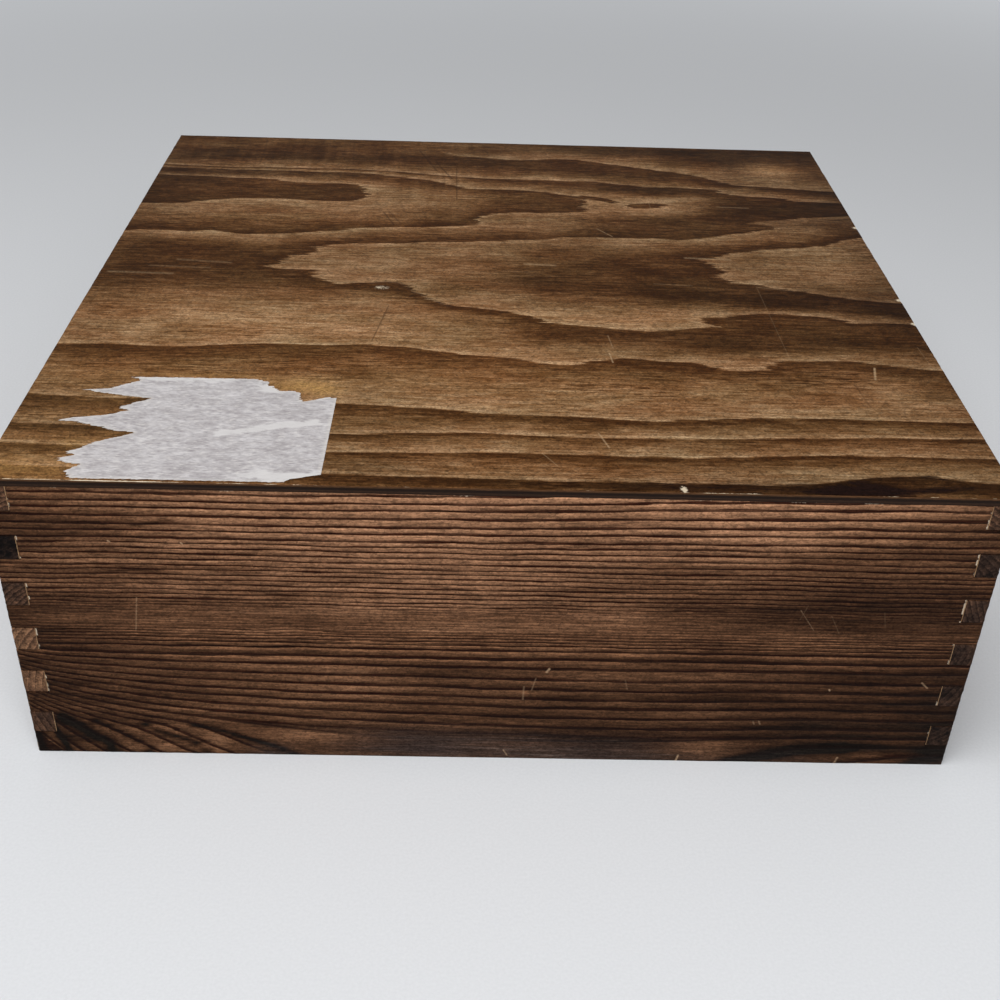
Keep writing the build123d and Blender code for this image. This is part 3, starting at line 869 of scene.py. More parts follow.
def label_paper(name, material):
    """The rest of the label: thin paper with fibrous tears, a little thicker where it wasn't scuffed."""
    corners, top = paper_outline()
    thick = size_of("torn_label").z * IN_MM
    cut_side = max(x for x, y in corners) - 0.8
    random = np.random.RandomState(71)
    rim = []
    torn = []
    for (x0, y0), (x1, y1) in zip(corners, corners[1:] + corners[:1]):
        run = math.hypot(x1 - x0, y1 - y0)
        pieces = max(1, round(run / 0.55))
        is_cut = x0 > cut_side and x1 > cut_side
        for piece in range(pieces):
            share = piece / pieces
            x, y = x0 + (x1 - x0) * share, y0 + (y1 - y0) * share
            # Tears run out along the fibres
            fray = 0 if is_cut or piece == 0 else 0.45 * random.uniform(-1, 1)
            rim.append((x + 2.2 * fray + (0 if is_cut else 1.1 * lumps(73, x, y, 5, 1.4)), y + 0.6 * fray))
            torn.append(not is_cut)
    loop = np.array(rim)
    low, high = loop.min(0), loop.max(0)
    xs, ys = np.meshgrid(np.arange(low[0], high[0], 1.5), np.arange(low[1], high[1], 1.2))
    inner = np.stack([xs.ravel(), ys.ravel()], 1)
    inner += random.uniform(-0.3, 0.3, inner.shape)
    next_points = np.roll(loop, -1, 0)
    crosses = (loop[None, :, 1] > inner[:, None, 1]) != (next_points[None, :, 1] > inner[:, None, 1])
    run = next_points - loop
    run_y = np.where(abs(run[:, 1]) < 1e-9, 1e-9, run[:, 1])
    at = loop[None, :, 0] + (inner[:, None, 1] - loop[None, :, 1]) * run[None, :, 0] / run_y[None]
    inside = (crosses & (inner[:, None, 0] < at)).sum(1) % 2 == 1
    closed = [tuple(p) for p in loop] + [tuple(loop[0])]
    inner = inner[inside]
    inner = inner[distance_to_line(inner[:, 0], inner[:, 1], closed) > 0.5]

    count = len(loop)
    points = [Vector(p) for p in np.concatenate([loop, inner])]
    edges = [(i, (i + 1) % count) for i in range(count)]
    flat, _, triangles, _, _, _ = delaunay_2d_cdt(points, edges, [], 1, 1e-6)
    flat = np.array([tuple(p) for p in flat])
    x, y = flat.T
    far = distance_to_line(x, y, closed)
    torn_line = [tuple(p) for p, is_torn in zip(loop, torn) if is_torn]
    tear = np.exp(-(distance_to_line(x, y, torn_line) / 1.1) ** 2)
    height = thick * (0.62 + 0.30 * lumps(72, x, y, 9, 3.2)) * (1 - 0.6 * tear)
    height = np.clip(height, 0.25 * thick, thick)
    base = top - thick
    upper = np.column_stack([flat, base + height])
    lower = np.column_stack([flat, np.full(len(flat), base)])
    total = len(flat)
    faces = [tuple(t) for t in triangles] + [tuple(i + total for i in reversed(t)) for t in triangles]
    used = {}
    for t in triangles:
        for start, stop in zip(t, list(t[1:]) + [t[0]]):
            used[start, stop] = True
    faces += [
        (stop, start, start + total, stop + total) for start, stop in used if (stop, start) not in used
    ]
    mesh = bpy.data.meshes.new(name)
    mesh.from_pydata((np.concatenate([upper, lower]) / IN_MM).tolist(), [], faces)
    mesh.update()
    carry(mesh, "place", np.tile(np.column_stack([x, y, far]), (2, 1)))
    # Strips that kept their smooth top layer, from the box's middle in mm
    kept = np.exp(-(distance_to_line(x, y, ((-99, -141), (-88, -138), (-78, -135), (-66, -132))) / 2.2) ** 2)
    kept = kept + blots(x, y, ((-74, -168, 14, 4, 1.0), (-118, -102, 24, 3, 0.9), (-84, -108, 9, 5, 0.7)))
    carry(mesh, "tear", np.tile(tear, 2))
    carry(mesh, "kept", np.tile(kept, 2))
    mesh.polygons.foreach_set("use_smooth", np.ones(len(mesh.polygons), bool))
    mesh.set_sharp_from_angle(angle=math.radians(40))
    mesh.materials.append(material)
    return link_piece(name, mesh)


def add(tree, kind, inputs=(), output=None, stops=None, **settings):
    """Add a node with its settings, and set or link its inputs, given in order or by name. Gives back one
    of its outputs."""
    node = tree.nodes.new(f"ShaderNode{kind}")
    for key, value in settings.items():
        setattr(node, key, value)
    if stops:
        ramp = node.color_ramp.elements
        while len(ramp) < len(stops):
            ramp.new(0.5)
        for element, (position, colour) in zip(ramp, stops):
            element.position = position
            element.color = (*linear(colour), 1) if isinstance(colour, str) else (colour, colour, colour, 1)
    if not isinstance(inputs, dict):
        inputs = dict(enumerate(inputs))
    for key, value in inputs.items():
        socket = node.inputs[key] if isinstance(key, int) else next(
            found for found in node.inputs if found.enabled and found.name == key
        )
        if isinstance(value, bpy.types.NodeSocket):
            tree.links.new(value, socket)
        else:
            socket.default_value = value
    return next((found for found in node.outputs if found.enabled and output in (None, found.name)), None)


def start_material(name):
    """An empty material and its node tree."""
    material = bpy.data.materials.new(name)
    material.use_nodes = True
    material.node_tree.nodes.clear()
    return material, material.node_tree


def finish_material(tree, colour, roughness, height, height_mm, **numbers):
    """One Principled shader with a bump from a height in 0 to 1."""
    bump = add(tree, "Bump", {"Height": height, "Strength": 1.0, "Distance": height_mm / IN_MM})
    shader = add(tree, "BsdfPrincipled", {"Base Color": colour, "Roughness": roughness, "Normal": bump})
    for key, value in numbers.items():
        shader.node.inputs[key.replace("_", " ")].default_value = value
    add(tree, "OutputMaterial", {"Surface": shader})


def mottle(tree, place, lump_mm, detail=2.0, output=None, roughness=0.5, distortion=0.0):
    """Noise around 0.5 whose lumps have these sizes in mm along u, v and w. It is sampled on a slant,
    because along its own axes it shows a weave."""
    scaled = add(tree, "VectorMath", (place, [1 / size for size in lump_mm]), operation="MULTIPLY")
    slant = {"Vector": scaled, "Rotation": (0.5, 0.7, 0.3)}
    turned = add(tree, "VectorRotate", slant, rotation_type="EULER_XYZ")
    return add(tree, "TexNoise", {
        "Vector": turned, "Scale": 1.0, "Detail": detail, "Roughness": roughness, "Distortion": distortion,
    }, output=output)


def ring_share(tree, place, run_out_mm, sideways_mm, lump_mm):
    """Place within a ring, 0 to 1, where noise moves the figure along and across the grain by these mm,
    and how much the ring count changes over a millimetre."""
    figure = add(tree, "Attribute", attribute_name="figure", output="Vector")
    noise = mottle(tree, place, lump_mm, detail=5.0, output="Color", roughness=0.6)
    centred = add(tree, "VectorMath", (noise, (0.5, 0.5, 0.5)), operation="SUBTRACT")
    moved = add(tree, "VectorMath", (centred, (0, run_out_mm, sideways_mm)), operation="MULTIPLY")
    change = add(tree, "VectorMath", (moved, figure), operation="DOT_PRODUCT", output="Value")
    count = add(tree, "SeparateXYZ", {"Vector": figure}, output="X")
    ring = add(tree, "Math", (count, change), operation="ADD")
    slope = add(tree, "VectorMath", (figure, (0, 1, 1)), operation="MULTIPLY")
    steepness = add(tree, "VectorMath", (slope,), operation="LENGTH", output="Value")
    return add(tree, "Math", (ring,), operation="FRACT"), steepness


def hairlines(tree, place, strokes, origin=(0, 0, 0)):
    """Strength of hairlines, each (start u, start v, end u, end v, half width, strength) in mm."""
    mask = 0.0
    for start_u, start_v, end_u, end_v, half_width, strength in strokes:
        run = Vector((end_u - start_u, end_v - start_v, 0))
        start = Vector((start_u, start_v, 0)) + Vector(origin)
        offset = add(tree, "VectorMath", (place, start), operation="SUBTRACT")
        share = add(tree, "VectorMath", (offset, run / run.length_squared), operation="DOT_PRODUCT",
                    output="Value")
        share = add(tree, "Math", (share, 0.0), operation="ADD", use_clamp=True)
        foot = add(tree, "VectorMath", {0: run, "Scale": share}, operation="SCALE")
        gap = add(tree, "VectorMath", (offset, foot), operation="DISTANCE", output="Value")
        hair = add(tree, "MapRange", (gap, 0.4 * half_width, 1.6 * half_width, strength, 0.0))
        mask = add(tree, "Math", (mask, hair), operation="MAXIMUM")
    return mask


def point_parts(tree, key):
    """The three numbers that a piece's points carry under this name."""
    vector = add(tree, "Attribute", attribute_name=key, output="Vector")
    parts = add(tree, "SeparateXYZ", {"Vector": vector}).node.outputs
    return parts["X"], parts["Y"], parts["Z"]


def place_in_mm(tree):
    """Place in mm on a piece that keeps its CAD shape."""
    metres = add(tree, "TexCoord", output="Object")
    return add(tree, "VectorMath", {0: metres, "Scale": IN_MM}, operation="SCALE")


def vary(tree, colour, amount, low, high, darkest, lightest):
    """The colour, darkest where the amount is low and lightest where it is high."""
    factor = add(tree, "MapRange", (amount, low, high, darkest, lightest))
    return add(tree, "VectorMath", {0: colour, "Scale": factor}, operation="SCALE")


def hex_of(colour):
    """A linear colour as the sRGB hex that a ramp's stops take."""
    parts = [12.92 * c if c <= 0.0031308 else 1.055 * c ** (1 / 2.4) - 0.055 for c in colour]
    return "#" + "".join(f"{round(255 * min(1, max(0, c))):02X}" for c in parts)


# Hairlines on the front, each (start u, start v, end u, end v, half width, strength)
FRONT_HAIRLINES = (
    (46.2, 45.3, 44.2, 60, 0.22, 0.20), (191.5, 74.7, 190.6, 76.4, 0.4, 0.50),
    (182.6, 83.6, 182.4, 89.6, 0.3, 0.20),
    (186.8, 79.4, 185.5, 85, 0.24, 0.20), (176, 115.7, 177.4, 118.4, 0.3, 0.35),
    (278.7, 45.7, 284.7, 54.7, 0.17, 0.15),
    (281, 43.6, 279, 50, 0.17, 0.07), (290, 48, 294, 56, 0.17, 0.07), (308.5, 46, 310, 53, 0.17, 0.06),
    (269, 98.8, 269.6, 100.4, 0.3, 0.25), (271.2, 98.8, 271.8, 100.3, 0.3, 0.25),
    (242.8, 117, 242, 120, 0.35, 0.6),
    (303.9, 117, 303, 120, 0.35, 0.4), (39.5, 21.2, 40, 21.6, 0.3, 0.5), (64, 21.5, 64.4, 21.9, 0.3, 0.5),
    (219.5, 79.5, 220.5, 84, 0.25, 0.12), (328.5, 78.5, 331, 81, 0.3, 0.3),
    (295, 82.6, 295.2, 83.0, 0.3, 0.5),
)


def flamed_pine(name, finish, end_grain):
    """Pine, flamed with a torch and wire-brushed: dark resinous ring lines stand as low ridges over
    browned early wood, with a satin sheen that breaks up along the fibres."""
    material, tree = start_material(name)
    place = add(tree, "Attribute", attribute_name="place", output="Vector")
    # On the front the scorch also holds painted shade toward the ends and a painted highlight in the middle
    scorch, raw, strength = point_parts(tree, "wear")
    painted_glint, sootiness, _ = point_parts(tree, "marks")
    share, steepness = ring_share(tree, place, 0.0, 1.9, (20, 1.5, 1.5))
    line = add(tree, "ValToRGB", {"Fac": share}, stops=(
        (0.0, 0.0), (0.40, 0.05), (0.61, 0.26), (0.70, 0.94), (0.95, 1.0), (0.995, 0.0)
    ))
    # No dark line is much wider than a millimetre, even where a ring is broad
    left = add(tree, "Math", (1.0, share), operation="SUBTRACT")
    to_line = add(tree, "Math", (left, steepness), operation="DIVIDE")
    narrow = add(tree, "MapRange", (to_line, 1.1, 2.0, 1.0, 0.16))
    line = add(tree, "Math", (line, narrow), operation="MINIMUM")
    # The flame caught the wood unevenly, over hand-sized patches and again in streaks a ring wide
    patches = add(tree, "MapRange", (mottle(tree, place, (60, 15, 15), detail=3.0), 0.3, 0.7, -0.14, 0.14))
    bands = add(tree, "MapRange", (mottle(tree, place, (70, 3.0, 3.0), detail=3.0), 0.3, 0.7, -0.13, 0.13))
    char_and_shade = add(tree, "Math", (scorch, patches), operation="ADD")
    char_and_shade = add(tree, "Math", (char_and_shade, bands), operation="ADD")
    early_stops = (
        (0.0, hex_of(finish.early_light)), (0.42, hex_of(finish.early_brown)), (0.75, "#352114"),
        (1.0, hex_of(finish.early_char)),
    )
    late_stops = ((0.0, hex_of(finish.late_light)), (0.5, "#1E0A04"), (1.0, hex_of(finish.late_char)))
    if end_grain:
        # End grain soaks up soot and stain, so it is darker and greyer than the face
        early_stops = ((0.0, "#86644A"), (0.4, "#5A4030"), (0.75, "#34261F"), (1.0, "#130E0D"))
        late_stops = ((0.0, "#5E4432"), (0.5, "#35261E"), (1.0, "#0E0C0B"))
    early = add(tree, "ValToRGB", {"Fac": char_and_shade}, stops=early_stops)
    late = add(tree, "ValToRGB", {"Fac": char_and_shade}, stops=late_stops)
    # The early wood is a little paler just past each ring line. Where brushing polished the ridges, thin
    # painted highlights along their lower edges stand in for the light they catch
    young = add(tree, "ValToRGB", {"Fac": share}, stops=((0.0, 1.0), (0.16, 0.7), (0.45, 0.35), (0.7, 0.2)))
    early = vary(tree, early, young, 0.0, 1.0, 0.88, 1.16)
    edge = add(tree, "ValToRGB", {"Fac": share}, stops=((0.0, 1.0), (0.18, 0.7), (0.34, 0.0)))
    edge = add(tree, "Math", (edge, painted_glint), operation="MULTIPLY")
    early = vary(tree, early, edge, 0.0, 1.0, 1.0, 2.1)
    # Fibres are about 0.3 mm across and pores and brush grit about 0.5 mm. Both are drawn twice as coarse,
    # because they would be too fine to show
    fibre_mm = (1.0, 1.0, 1.0) if end_grain else (8.0, 0.7, 0.7)
    fibres = mottle(tree, place, fibre_mm, detail=2.0, roughness=0.6)
    grit = mottle(tree, place, (1.5, 0.9, 0.9), detail=2.0, roughness=0.6, distortion=1.0)
    line = add(tree, "Math", (line, strength), operation="MULTIPLY")
    # Ring lines fade and swell along the board
    swell = mottle(tree, place, (38, 2.4, 2.4), detail=3.0)
    swell = add(tree, "MapRange", (swell, 0.36, 0.54, 0.82, 1.0))
    line = add(tree, "Math", (line, swell), operation="MULTIPLY", use_clamp=True)
    wood = add(tree, "Mix", {"Factor": line, "A": early, "B": late}, data_type="RGBA")
    # Soot lies grey in the grain, with paler streaks where it was rubbed
    rubbed = mottle(tree, place, (26, 0.9, 0.9), detail=3.0, roughness=0.6)
    soot = add(tree, "ValToRGB", {"Fac": rubbed}, stops=(
        (0.34, "#241F1F"), (0.5, "#2F2928"), (0.60, "#3D3634"), (0.70, "#574E4A")
    ))
    sooty = add(tree, "Math", (sootiness, 0.78), operation="MULTIPLY")
    wood = add(tree, "Mix", {"Factor": sooty, "A": wood, "B": soot}, data_type="RGBA")
    wood = vary(tree, wood, fibres, 0.32, 0.68, 0.64, 1.36)
    wood = vary(tree, wood, grit, 0.35, 0.65, 0.62, 1.38)
    ragged = add(tree, "Math", (raw, add(tree, "MapRange", (grit, 0.2, 0.8, -0.35, 0.35))), operation="ADD")
    fresh = add(tree, "MapRange", (ragged, 0.45, 0.85, 0.0, 0.85))
    wood = add(tree, "Mix", {"Factor": fresh, "A": wood, "B": (*linear("#D2C2AC"), 1)}, data_type="RGBA")
    if not end_grain:
        scratches = hairlines(tree, place, FRONT_HAIRLINES)
        broken = add(tree, "MapRange", (grit, 0.35, 0.6, 0.4, 1.0))
        scratches = add(tree, "Math", (scratches, broken), operation="MULTIPLY")
        tan = (*linear("#D0AD8A"), 1)
        wood = add(tree, "Mix", {"Factor": scratches, "A": wood, "B": tan}, data_type="RGBA")
    # The ridges are resinous and polish up, the brushed early wood stays duller
    roughness = add(tree, "MapRange", (line, 0.0, 1.0, 0.54, 0.42))
    if end_grain:
        roughness = add(tree, "MapRange", (fibres, 0.2, 0.8, 0.60, 0.78))
    bumps = add(tree, "Math", (fibres, grit), operation="ADD")
    finish_material(tree, wood, roughness, bumps, 0.08, IOR=1.5, Specular_IOR_Level=0.04)
    return material


def bare_pine(name, finish):
    """Planed pine that was never flamed, inside the box: pale honey with tan ring lines."""
    material, tree = start_material(name)
    place = add(tree, "Attribute", attribute_name="place", output="Vector")
    share, _ = ring_share(tree, place, 0.0, 1.6, (26, 1.6, 1.6))
    line = add(tree, "ValToRGB", {"Fac": share}, stops=((0.0, 0.0), (0.5, 0.15), (0.85, 0.8), (1.0, 0.0)))
    aged = mottle(tree, place, (80, 30, 30), detail=3.0)
    early = add(tree, "ValToRGB", {"Fac": aged}, stops=((0.35, hex_of(finish.bare)), (0.65, "#B08B63")))
    wood = add(tree, "Mix", {"Factor": line, "A": early, "B": (*linear("#966E47"), 1)}, data_type="RGBA")
    fibres = mottle(tree, place, (12, 0.45, 0.45), detail=2.0)
    wood = vary(tree, wood, fibres, 0.25, 0.75, 0.90, 1.10)
    finish_material(tree, wood, add(tree, "MapRange", (fibres, 0.2, 0.8, 0.55, 0.68)), fibres, 0.04, IOR=1.5)
    return material


def flamed_veneer(name, tooth_mm):
    """Rotary-cut softwood veneer of the lid, flamed and stained: broad wavy rings that end in feathered
    tongues, golden brown to dark brown, with a soft satin sheen along the fibres."""
    material, tree = start_material(name)
    place = add(tree, "Attribute", attribute_name="place", output="Vector")
    # On the lid the scorch also holds painted shade along the side edges and a faint painted highlight in the
    # middle
    scorch, raw, fade = point_parts(tree, "wear")
    smearing, dashing, glued = point_parts(tree, "marks")
    share, steepness = ring_share(tree, place, tooth_mm, 3.2, (20, 1.3, 1.3))
    steepness = add(tree, "Math", (steepness, 0.006), operation="MAXIMUM")
    past_line = add(tree, "Math", (share, steepness), operation="DIVIDE")
    left = add(tree, "Math", (1.0, share), operation="SUBTRACT")
    to_line = add(tree, "Math", (left, steepness), operation="DIVIDE")
    # Each ring is darkest just past its line and pales in steps, with the palest rim along the next line
    tone = add(tree, "ValToRGB", {"Fac": share}, stops=(
        (0.0, 0.12), (0.13, 0.14), (0.30, 0.31), (0.50, 0.42), (0.75, 0.54), (1.0, 0.62)
    ))
    rim = add(tree, "MapRange", (to_line, 0.4, 3.2, 0.13, 0.0))
    shade = add(tree, "MapRange", (past_line, 0.0, 6.0, -0.06, 0.0))
    # The line itself is about 0.7 mm wide, from pale to dark
    blur = add(tree, "MapRange", (past_line, 0.0, 0.7, 0.50, 0.0))
    # Streaks run along the grain, some cm long and 1 mm high
    streaks = mottle(tree, place, (17, 1.1, 1.1), detail=3.0, roughness=0.6)
    streaks = add(tree, "MapRange", (streaks, 0.3, 0.7, -0.19, 0.19))
    cloud = add(tree, "MapRange", (mottle(tree, place, (34, 12, 12), detail=3.0), 0.3, 0.7, -0.13, 0.13))
    blotch = mottle(tree, place, (4.5, 2.2, 2.2), detail=2.0, roughness=0.6)
    blotch = add(tree, "MapRange", (blotch, 0.32, 0.68, -0.09, 0.09))
    # Wiping across the grain left faint smears, and short dark dashes lie along it
    smears = mottle(tree, place, (5, 60, 60), detail=2.0)
    smears = add(tree, "MapRange", (smears, 0.3, 0.7, -0.12, 0.12))
    smears = add(tree, "Math", (smears, smearing), operation="MULTIPLY")
    dashes = add(tree, "MapRange", (mottle(tree, place, (9, 0.75, 0.75), detail=1.0), 0.56, 0.70, 0.0, -0.5))
    dashes = add(tree, "Math", (dashes, dashing), operation="MULTIPLY")
    for part in (rim, shade, blur):
        tone = add(tree, "Math", (tone, part), operation="ADD")
    tone = add(tree, "Mix", {"Factor": fade, "A": tone, "B": 0.34})
    for part in (streaks, cloud, blotch, smears, dashes):
        tone = add(tree, "Math", (tone, part), operation="ADD")
    light = add(tree, "ValToRGB", {"Fac": tone}, stops=(
        (0.0, "#4A2C13"), (0.25, "#6C4929"), (0.5, "#8C6745"), (0.75, "#A98764"), (1.0, "#C6A581"),
    ))
    dark = add(tree, "ValToRGB", {"Fac": tone}, stops=(
        (0.0, "#1A0D05"), (0.25, "#2C190A"), (0.5, "#432C18"), (0.75, "#604730"), (1.0, "#80664B"),
    ))
    wood = add(tree, "Mix", {"Factor": scorch, "A": light, "B": dark}, data_type="RGBA")
    # Stain pooled in some places, which makes them redder and others more golden
    tint = add(tree, "MapRange", (mottle(tree, place, (38, 14, 14), detail=3.0), 0.35, 0.65))
    redder, more_golden = (1.04, 0.97, 0.92, 1), (0.98, 1.02, 1.0, 1)
    tint = add(tree, "Mix", {"Factor": tint, "A": redder, "B": more_golden}, data_type="RGBA")
    wood = add(tree, "VectorMath", (wood, tint), operation="MULTIPLY")
    charred = add(tree, "MapRange", (add(tree, "Math", (scorch, streaks), operation="ADD"), 0.86, 1.05))
    wood = add(tree, "Mix", {"Factor": charred, "A": wood, "B": (*linear("#1C0F0B"), 1)}, data_type="RGBA")
    # Golden glue is left where the label's corner was pulled off
    residue = add(tree, "MapRange", (blotch, -0.09, 0.09, 0.5, 1.1))
    residue = add(tree, "Math", (residue, glued), operation="MULTIPLY", use_clamp=True)
    wood = add(tree, "Mix", {"Factor": residue, "A": wood, "B": (*linear("#A27D4B"), 1)}, data_type="RGBA")
    # Pores are about 0.3 mm, drawn as coarse as they need to show
    specks = mottle(tree, place, (1.5, 1.0, 1.0), detail=2.0, roughness=0.6, distortion=1.2)
    wood = vary(tree, wood, specks, 0.35, 0.65, 0.58, 1.42)
    broken = add(tree, "MapRange", (specks, 0.35, 0.6, 0.4, 1.0))
    for strokes, colour in ((LID_PALE_HAIRLINES, "#B89B78"), (LID_DARK_HAIRLINES, "#2A190F")):
        hair = add(tree, "Math", (hairlines(tree, place, strokes, LID_PLACE), broken), operation="MULTIPLY")
        wood = add(tree, "Mix", {"Factor": hair, "A": wood, "B": (*linear(colour), 1)}, data_type="RGBA")
    ragged = add(tree, "Math", (raw, add(tree, "MapRange", (specks, 0.2, 0.8, -0.3, 0.3))), operation="ADD")
    fresh = add(tree, "MapRange", (ragged, 0.55, 0.85))
    wood = add(tree, "Mix", {"Factor": fresh, "A": wood, "B": (*linear("#CDBDA4"), 1)}, data_type="RGBA")
    roughness = add(tree, "MapRange", (specks, 0.2, 0.8, 0.40, 0.54))
    finish_material(tree, wood, roughness, specks, 0.06, IOR=1.5, Specular_IOR_Level=0.03)
    return material


def plywood_edge(name):
    """Cut edge of three-ply: two thin face veneers and a dark crosswise core, sooty from the flame."""
    material, tree = start_material(name)
    place = add(tree, "Attribute", attribute_name="place", output="Vector")
    _, raw, _ = point_parts(tree, "wear")
    depth = add(tree, "SeparateXYZ", {"Vector": place}, output="Z")
    plies = add(tree, "ValToRGB", {"Fac": add(tree, "MapRange", (depth, 0.0, 3.0))}, stops=(
        (0.0, "#6E4C2E"), (0.12, "#4C321D"), (0.29, "#3C2818"), (0.33, "#1A0F08"), (0.66, "#1F130B"),
        (0.70, "#312015"), (1.0, "#20140D"),
    ))
    fibres = mottle(tree, place, (1.6, 1.6, 0.3), detail=3.0)
    wood = vary(tree, plies, fibres, 0.25, 0.75, 0.55, 1.45)
    fresh = add(tree, "MapRange", (raw, 0.5, 0.9))
    wood = add(tree, "Mix", {"Factor": fresh, "A": wood, "B": (*linear("#CDB088"), 1)}, data_type="RGBA")
    roughness = add(tree, "MapRange", (fibres, 0.2, 0.8, 0.62, 0.8))
    finish_material(tree, wood, roughness, fibres, 0.12, IOR=1.5, Specular_IOR_Level=0.12)
    return material


def bare_plywood(name, bare, from_points):
    """Unflamed plywood face: pale veneer with wide soft rings and short dark pores."""
    material, tree = start_material(name)
    if from_points:
        place = add(tree, "Attribute", attribute_name="place", output="Vector")
    else:
        place = place_in_mm(tree)
    # Broad rings drawn out along the grain, ragged by the fibres
    swirl = mottle(tree, place, (420, 52, 52), detail=1.0)
    ragged = mottle(tree, place, (26, 1.4, 1.4), detail=4.0, roughness=0.6)
    ragged = add(tree, "MapRange", (ragged, 0.3, 0.7, -0.09, 0.09))
    rings = add(tree, "Math", (swirl, 8.0, ragged), operation="MULTIPLY_ADD")
    share = add(tree, "Math", (rings,), operation="FRACT")
    line = add(tree, "ValToRGB", {"Fac": share}, stops=(
        (0.0, 0.10), (0.35, 0.0), (0.72, 0.18), (0.96, 0.8), (1.0, 0.10)
    ))
    aged = mottle(tree, place, (120, 50, 50), detail=3.0)
    light = add(tree, "ValToRGB", {"Fac": aged}, stops=((0.35, hex_of(bare)), (0.65, "#B5936B")))
    wood = add(tree, "Mix", {"Factor": line, "A": light, "B": (*linear("#A37F57"), 1)}, data_type="RGBA")
    pores = mottle(tree, place, (9, 0.7, 0.7), detail=2.0, roughness=0.6)
    wood = vary(tree, wood, pores, 0.3, 0.7, 0.86, 1.12)
    finish_material(tree, wood, add(tree, "MapRange", (pores, 0.2, 0.8, 0.58, 0.70)), pores, 0.04, IOR=1.5)
    return material


def cleat_pine(name):
    """Planed pine batten, bare and a little yellowed, with straight close rings along it."""
    material, tree = start_material(name)
    place = place_in_mm(tree)
    # Grain runs along y here. The pith lies 60 mm above and to the side, so rings are nearly straight
    across = add(tree, "VectorMath", (place, (1, 0, 1)), operation="MULTIPLY")
    from_pith = add(tree, "VectorMath", (across, (40, 0, 190)), operation="DISTANCE", output="Value")
    sway = add(tree, "MapRange", (mottle(tree, place, (30, 130, 30), detail=2.0), 0.2, 0.8, -4.0, 4.0))
    bent = add(tree, "Math", (from_pith, sway), operation="ADD")
    rings = add(tree, "Math", (bent, 2.2), operation="DIVIDE")
    share = add(tree, "Math", (rings,), operation="FRACT")
    line = add(tree, "ValToRGB", {"Fac": share}, stops=((0.0, 0.0), (0.5, 0.15), (0.85, 1.0), (1.0, 0.0)))
    wood = add(tree, "Mix", {"Factor": line, "A": (*linear("#CAA678"), 1), "B": (*linear("#A98052"), 1)},
               data_type="RGBA")
    fibres = mottle(tree, place, (0.45, 12, 0.45), detail=2.0)
    wood = vary(tree, wood, fibres, 0.25, 0.75, 0.88, 1.12)
    finish_material(tree, wood, add(tree, "MapRange", (fibres, 0.2, 0.8, 0.55, 0.68)), fibres, 0.04, IOR=1.5)
    return material


def zinc_wire(name):
    """Flat staple wire, drawn steel with a thin zinc coat: grey, dull-bright, with white bloom in spots."""
    material, tree = start_material(name)
    place = place_in_mm(tree)
    bloom = mottle(tree, place, (0.9, 0.9, 0.9), detail=3.0)
    metal = add(tree, "ValToRGB", {"Fac": bloom}, stops=(
        (0.35, "#9C9C98"), (0.6, "#BDBDB8"), (0.72, "#8A8780")
    ))
    roughness = add(tree, "MapRange", (bloom, 0.3, 0.7, 0.34, 0.55))
    finish_material(tree, metal, roughness, bloom, 0.01, Metallic=1.0)
    return material


def scuffed_paper(name):
    """Uncoated label paper whose top layer was pulled away: pale grey pulp with darker fibres and scuffs
    along it, and smoother, whiter strips where some of the top layer stayed."""
    material, tree = start_material(name)
    place = add(tree, "Attribute", attribute_name="place", output="Vector")
    tear = add(tree, "Attribute", attribute_name="tear", output="Fac")
    kept = add(tree, "Attribute", attribute_name="kept", output="Fac")
    layers = mottle(tree, place, (8, 3.4, 9), detail=5.0, roughness=0.65)
    base = add(tree, "ValToRGB", {"Fac": layers}, stops=(
        (0.32, "#A5A0A1"), (0.45, "#B1ACAD"), (0.56, "#BDB9BA"), (0.68, "#CAC6C7")
    ))
    # Fibres are hair-fine and drawn about 0.5 mm wide, as they would be too fine to show
    fibres = mottle(tree, place, (2.2, 0.8, 9), detail=3.0, roughness=0.6)
    dark = add(tree, "MapRange", (fibres, 0.52, 0.68, 0.0, 0.45))
    paper = add(tree, "Mix", {"Factor": dark, "A": base, "B": (*linear("#7A7477"), 1)}, data_type="RGBA")
    pale = add(tree, "MapRange", (fibres, 0.46, 0.34, 0.0, 0.5))
    paper = add(tree, "Mix", {"Factor": pale, "A": paper, "B": (*linear("#DAD6D2"), 1)}, data_type="RGBA")
    uneven = add(tree, "MapRange", (layers, 0.35, 0.6, -0.3, 0.25))
    smooth = add(tree, "Math", (kept, uneven), operation="ADD")
    smooth = add(tree, "MapRange", (smooth, 0.4, 0.7, 0.0, 0.85))
    paper = add(tree, "Mix", {"Factor": smooth, "A": paper, "B": (*linear("#CFCCCB"), 1)}, data_type="RGBA")
    thin = add(tree, "MapRange", (tear, 0.3, 1.0, 0.0, 0.5))
    paper = add(tree, "Mix", {"Factor": thin, "A": paper, "B": (*linear("#D3CEC8"), 1)}, data_type="RGBA")
    roughness = add(tree, "MapRange", (layers, 0.3, 0.7, 0.78, 0.92))
    finish_material(tree, paper, roughness, fibres, 0.08, IOR=1.45, Specular_IOR_Level=0.3)
    return material


def seen_directly(tree):
    """1 for what the camera sees, also by way of metal or glass, and 0 for the light that falls on things."""
    path = add(tree, "LightPath", output="Is Camera Ray").node.outputs
    seen = add(tree, "Math", (path["Is Camera Ray"], path["Is Glossy Ray"]), operation="MAXIMUM")
    return add(tree, "Math", (seen, path["Is Transmission Ray"]), operation="MAXIMUM")


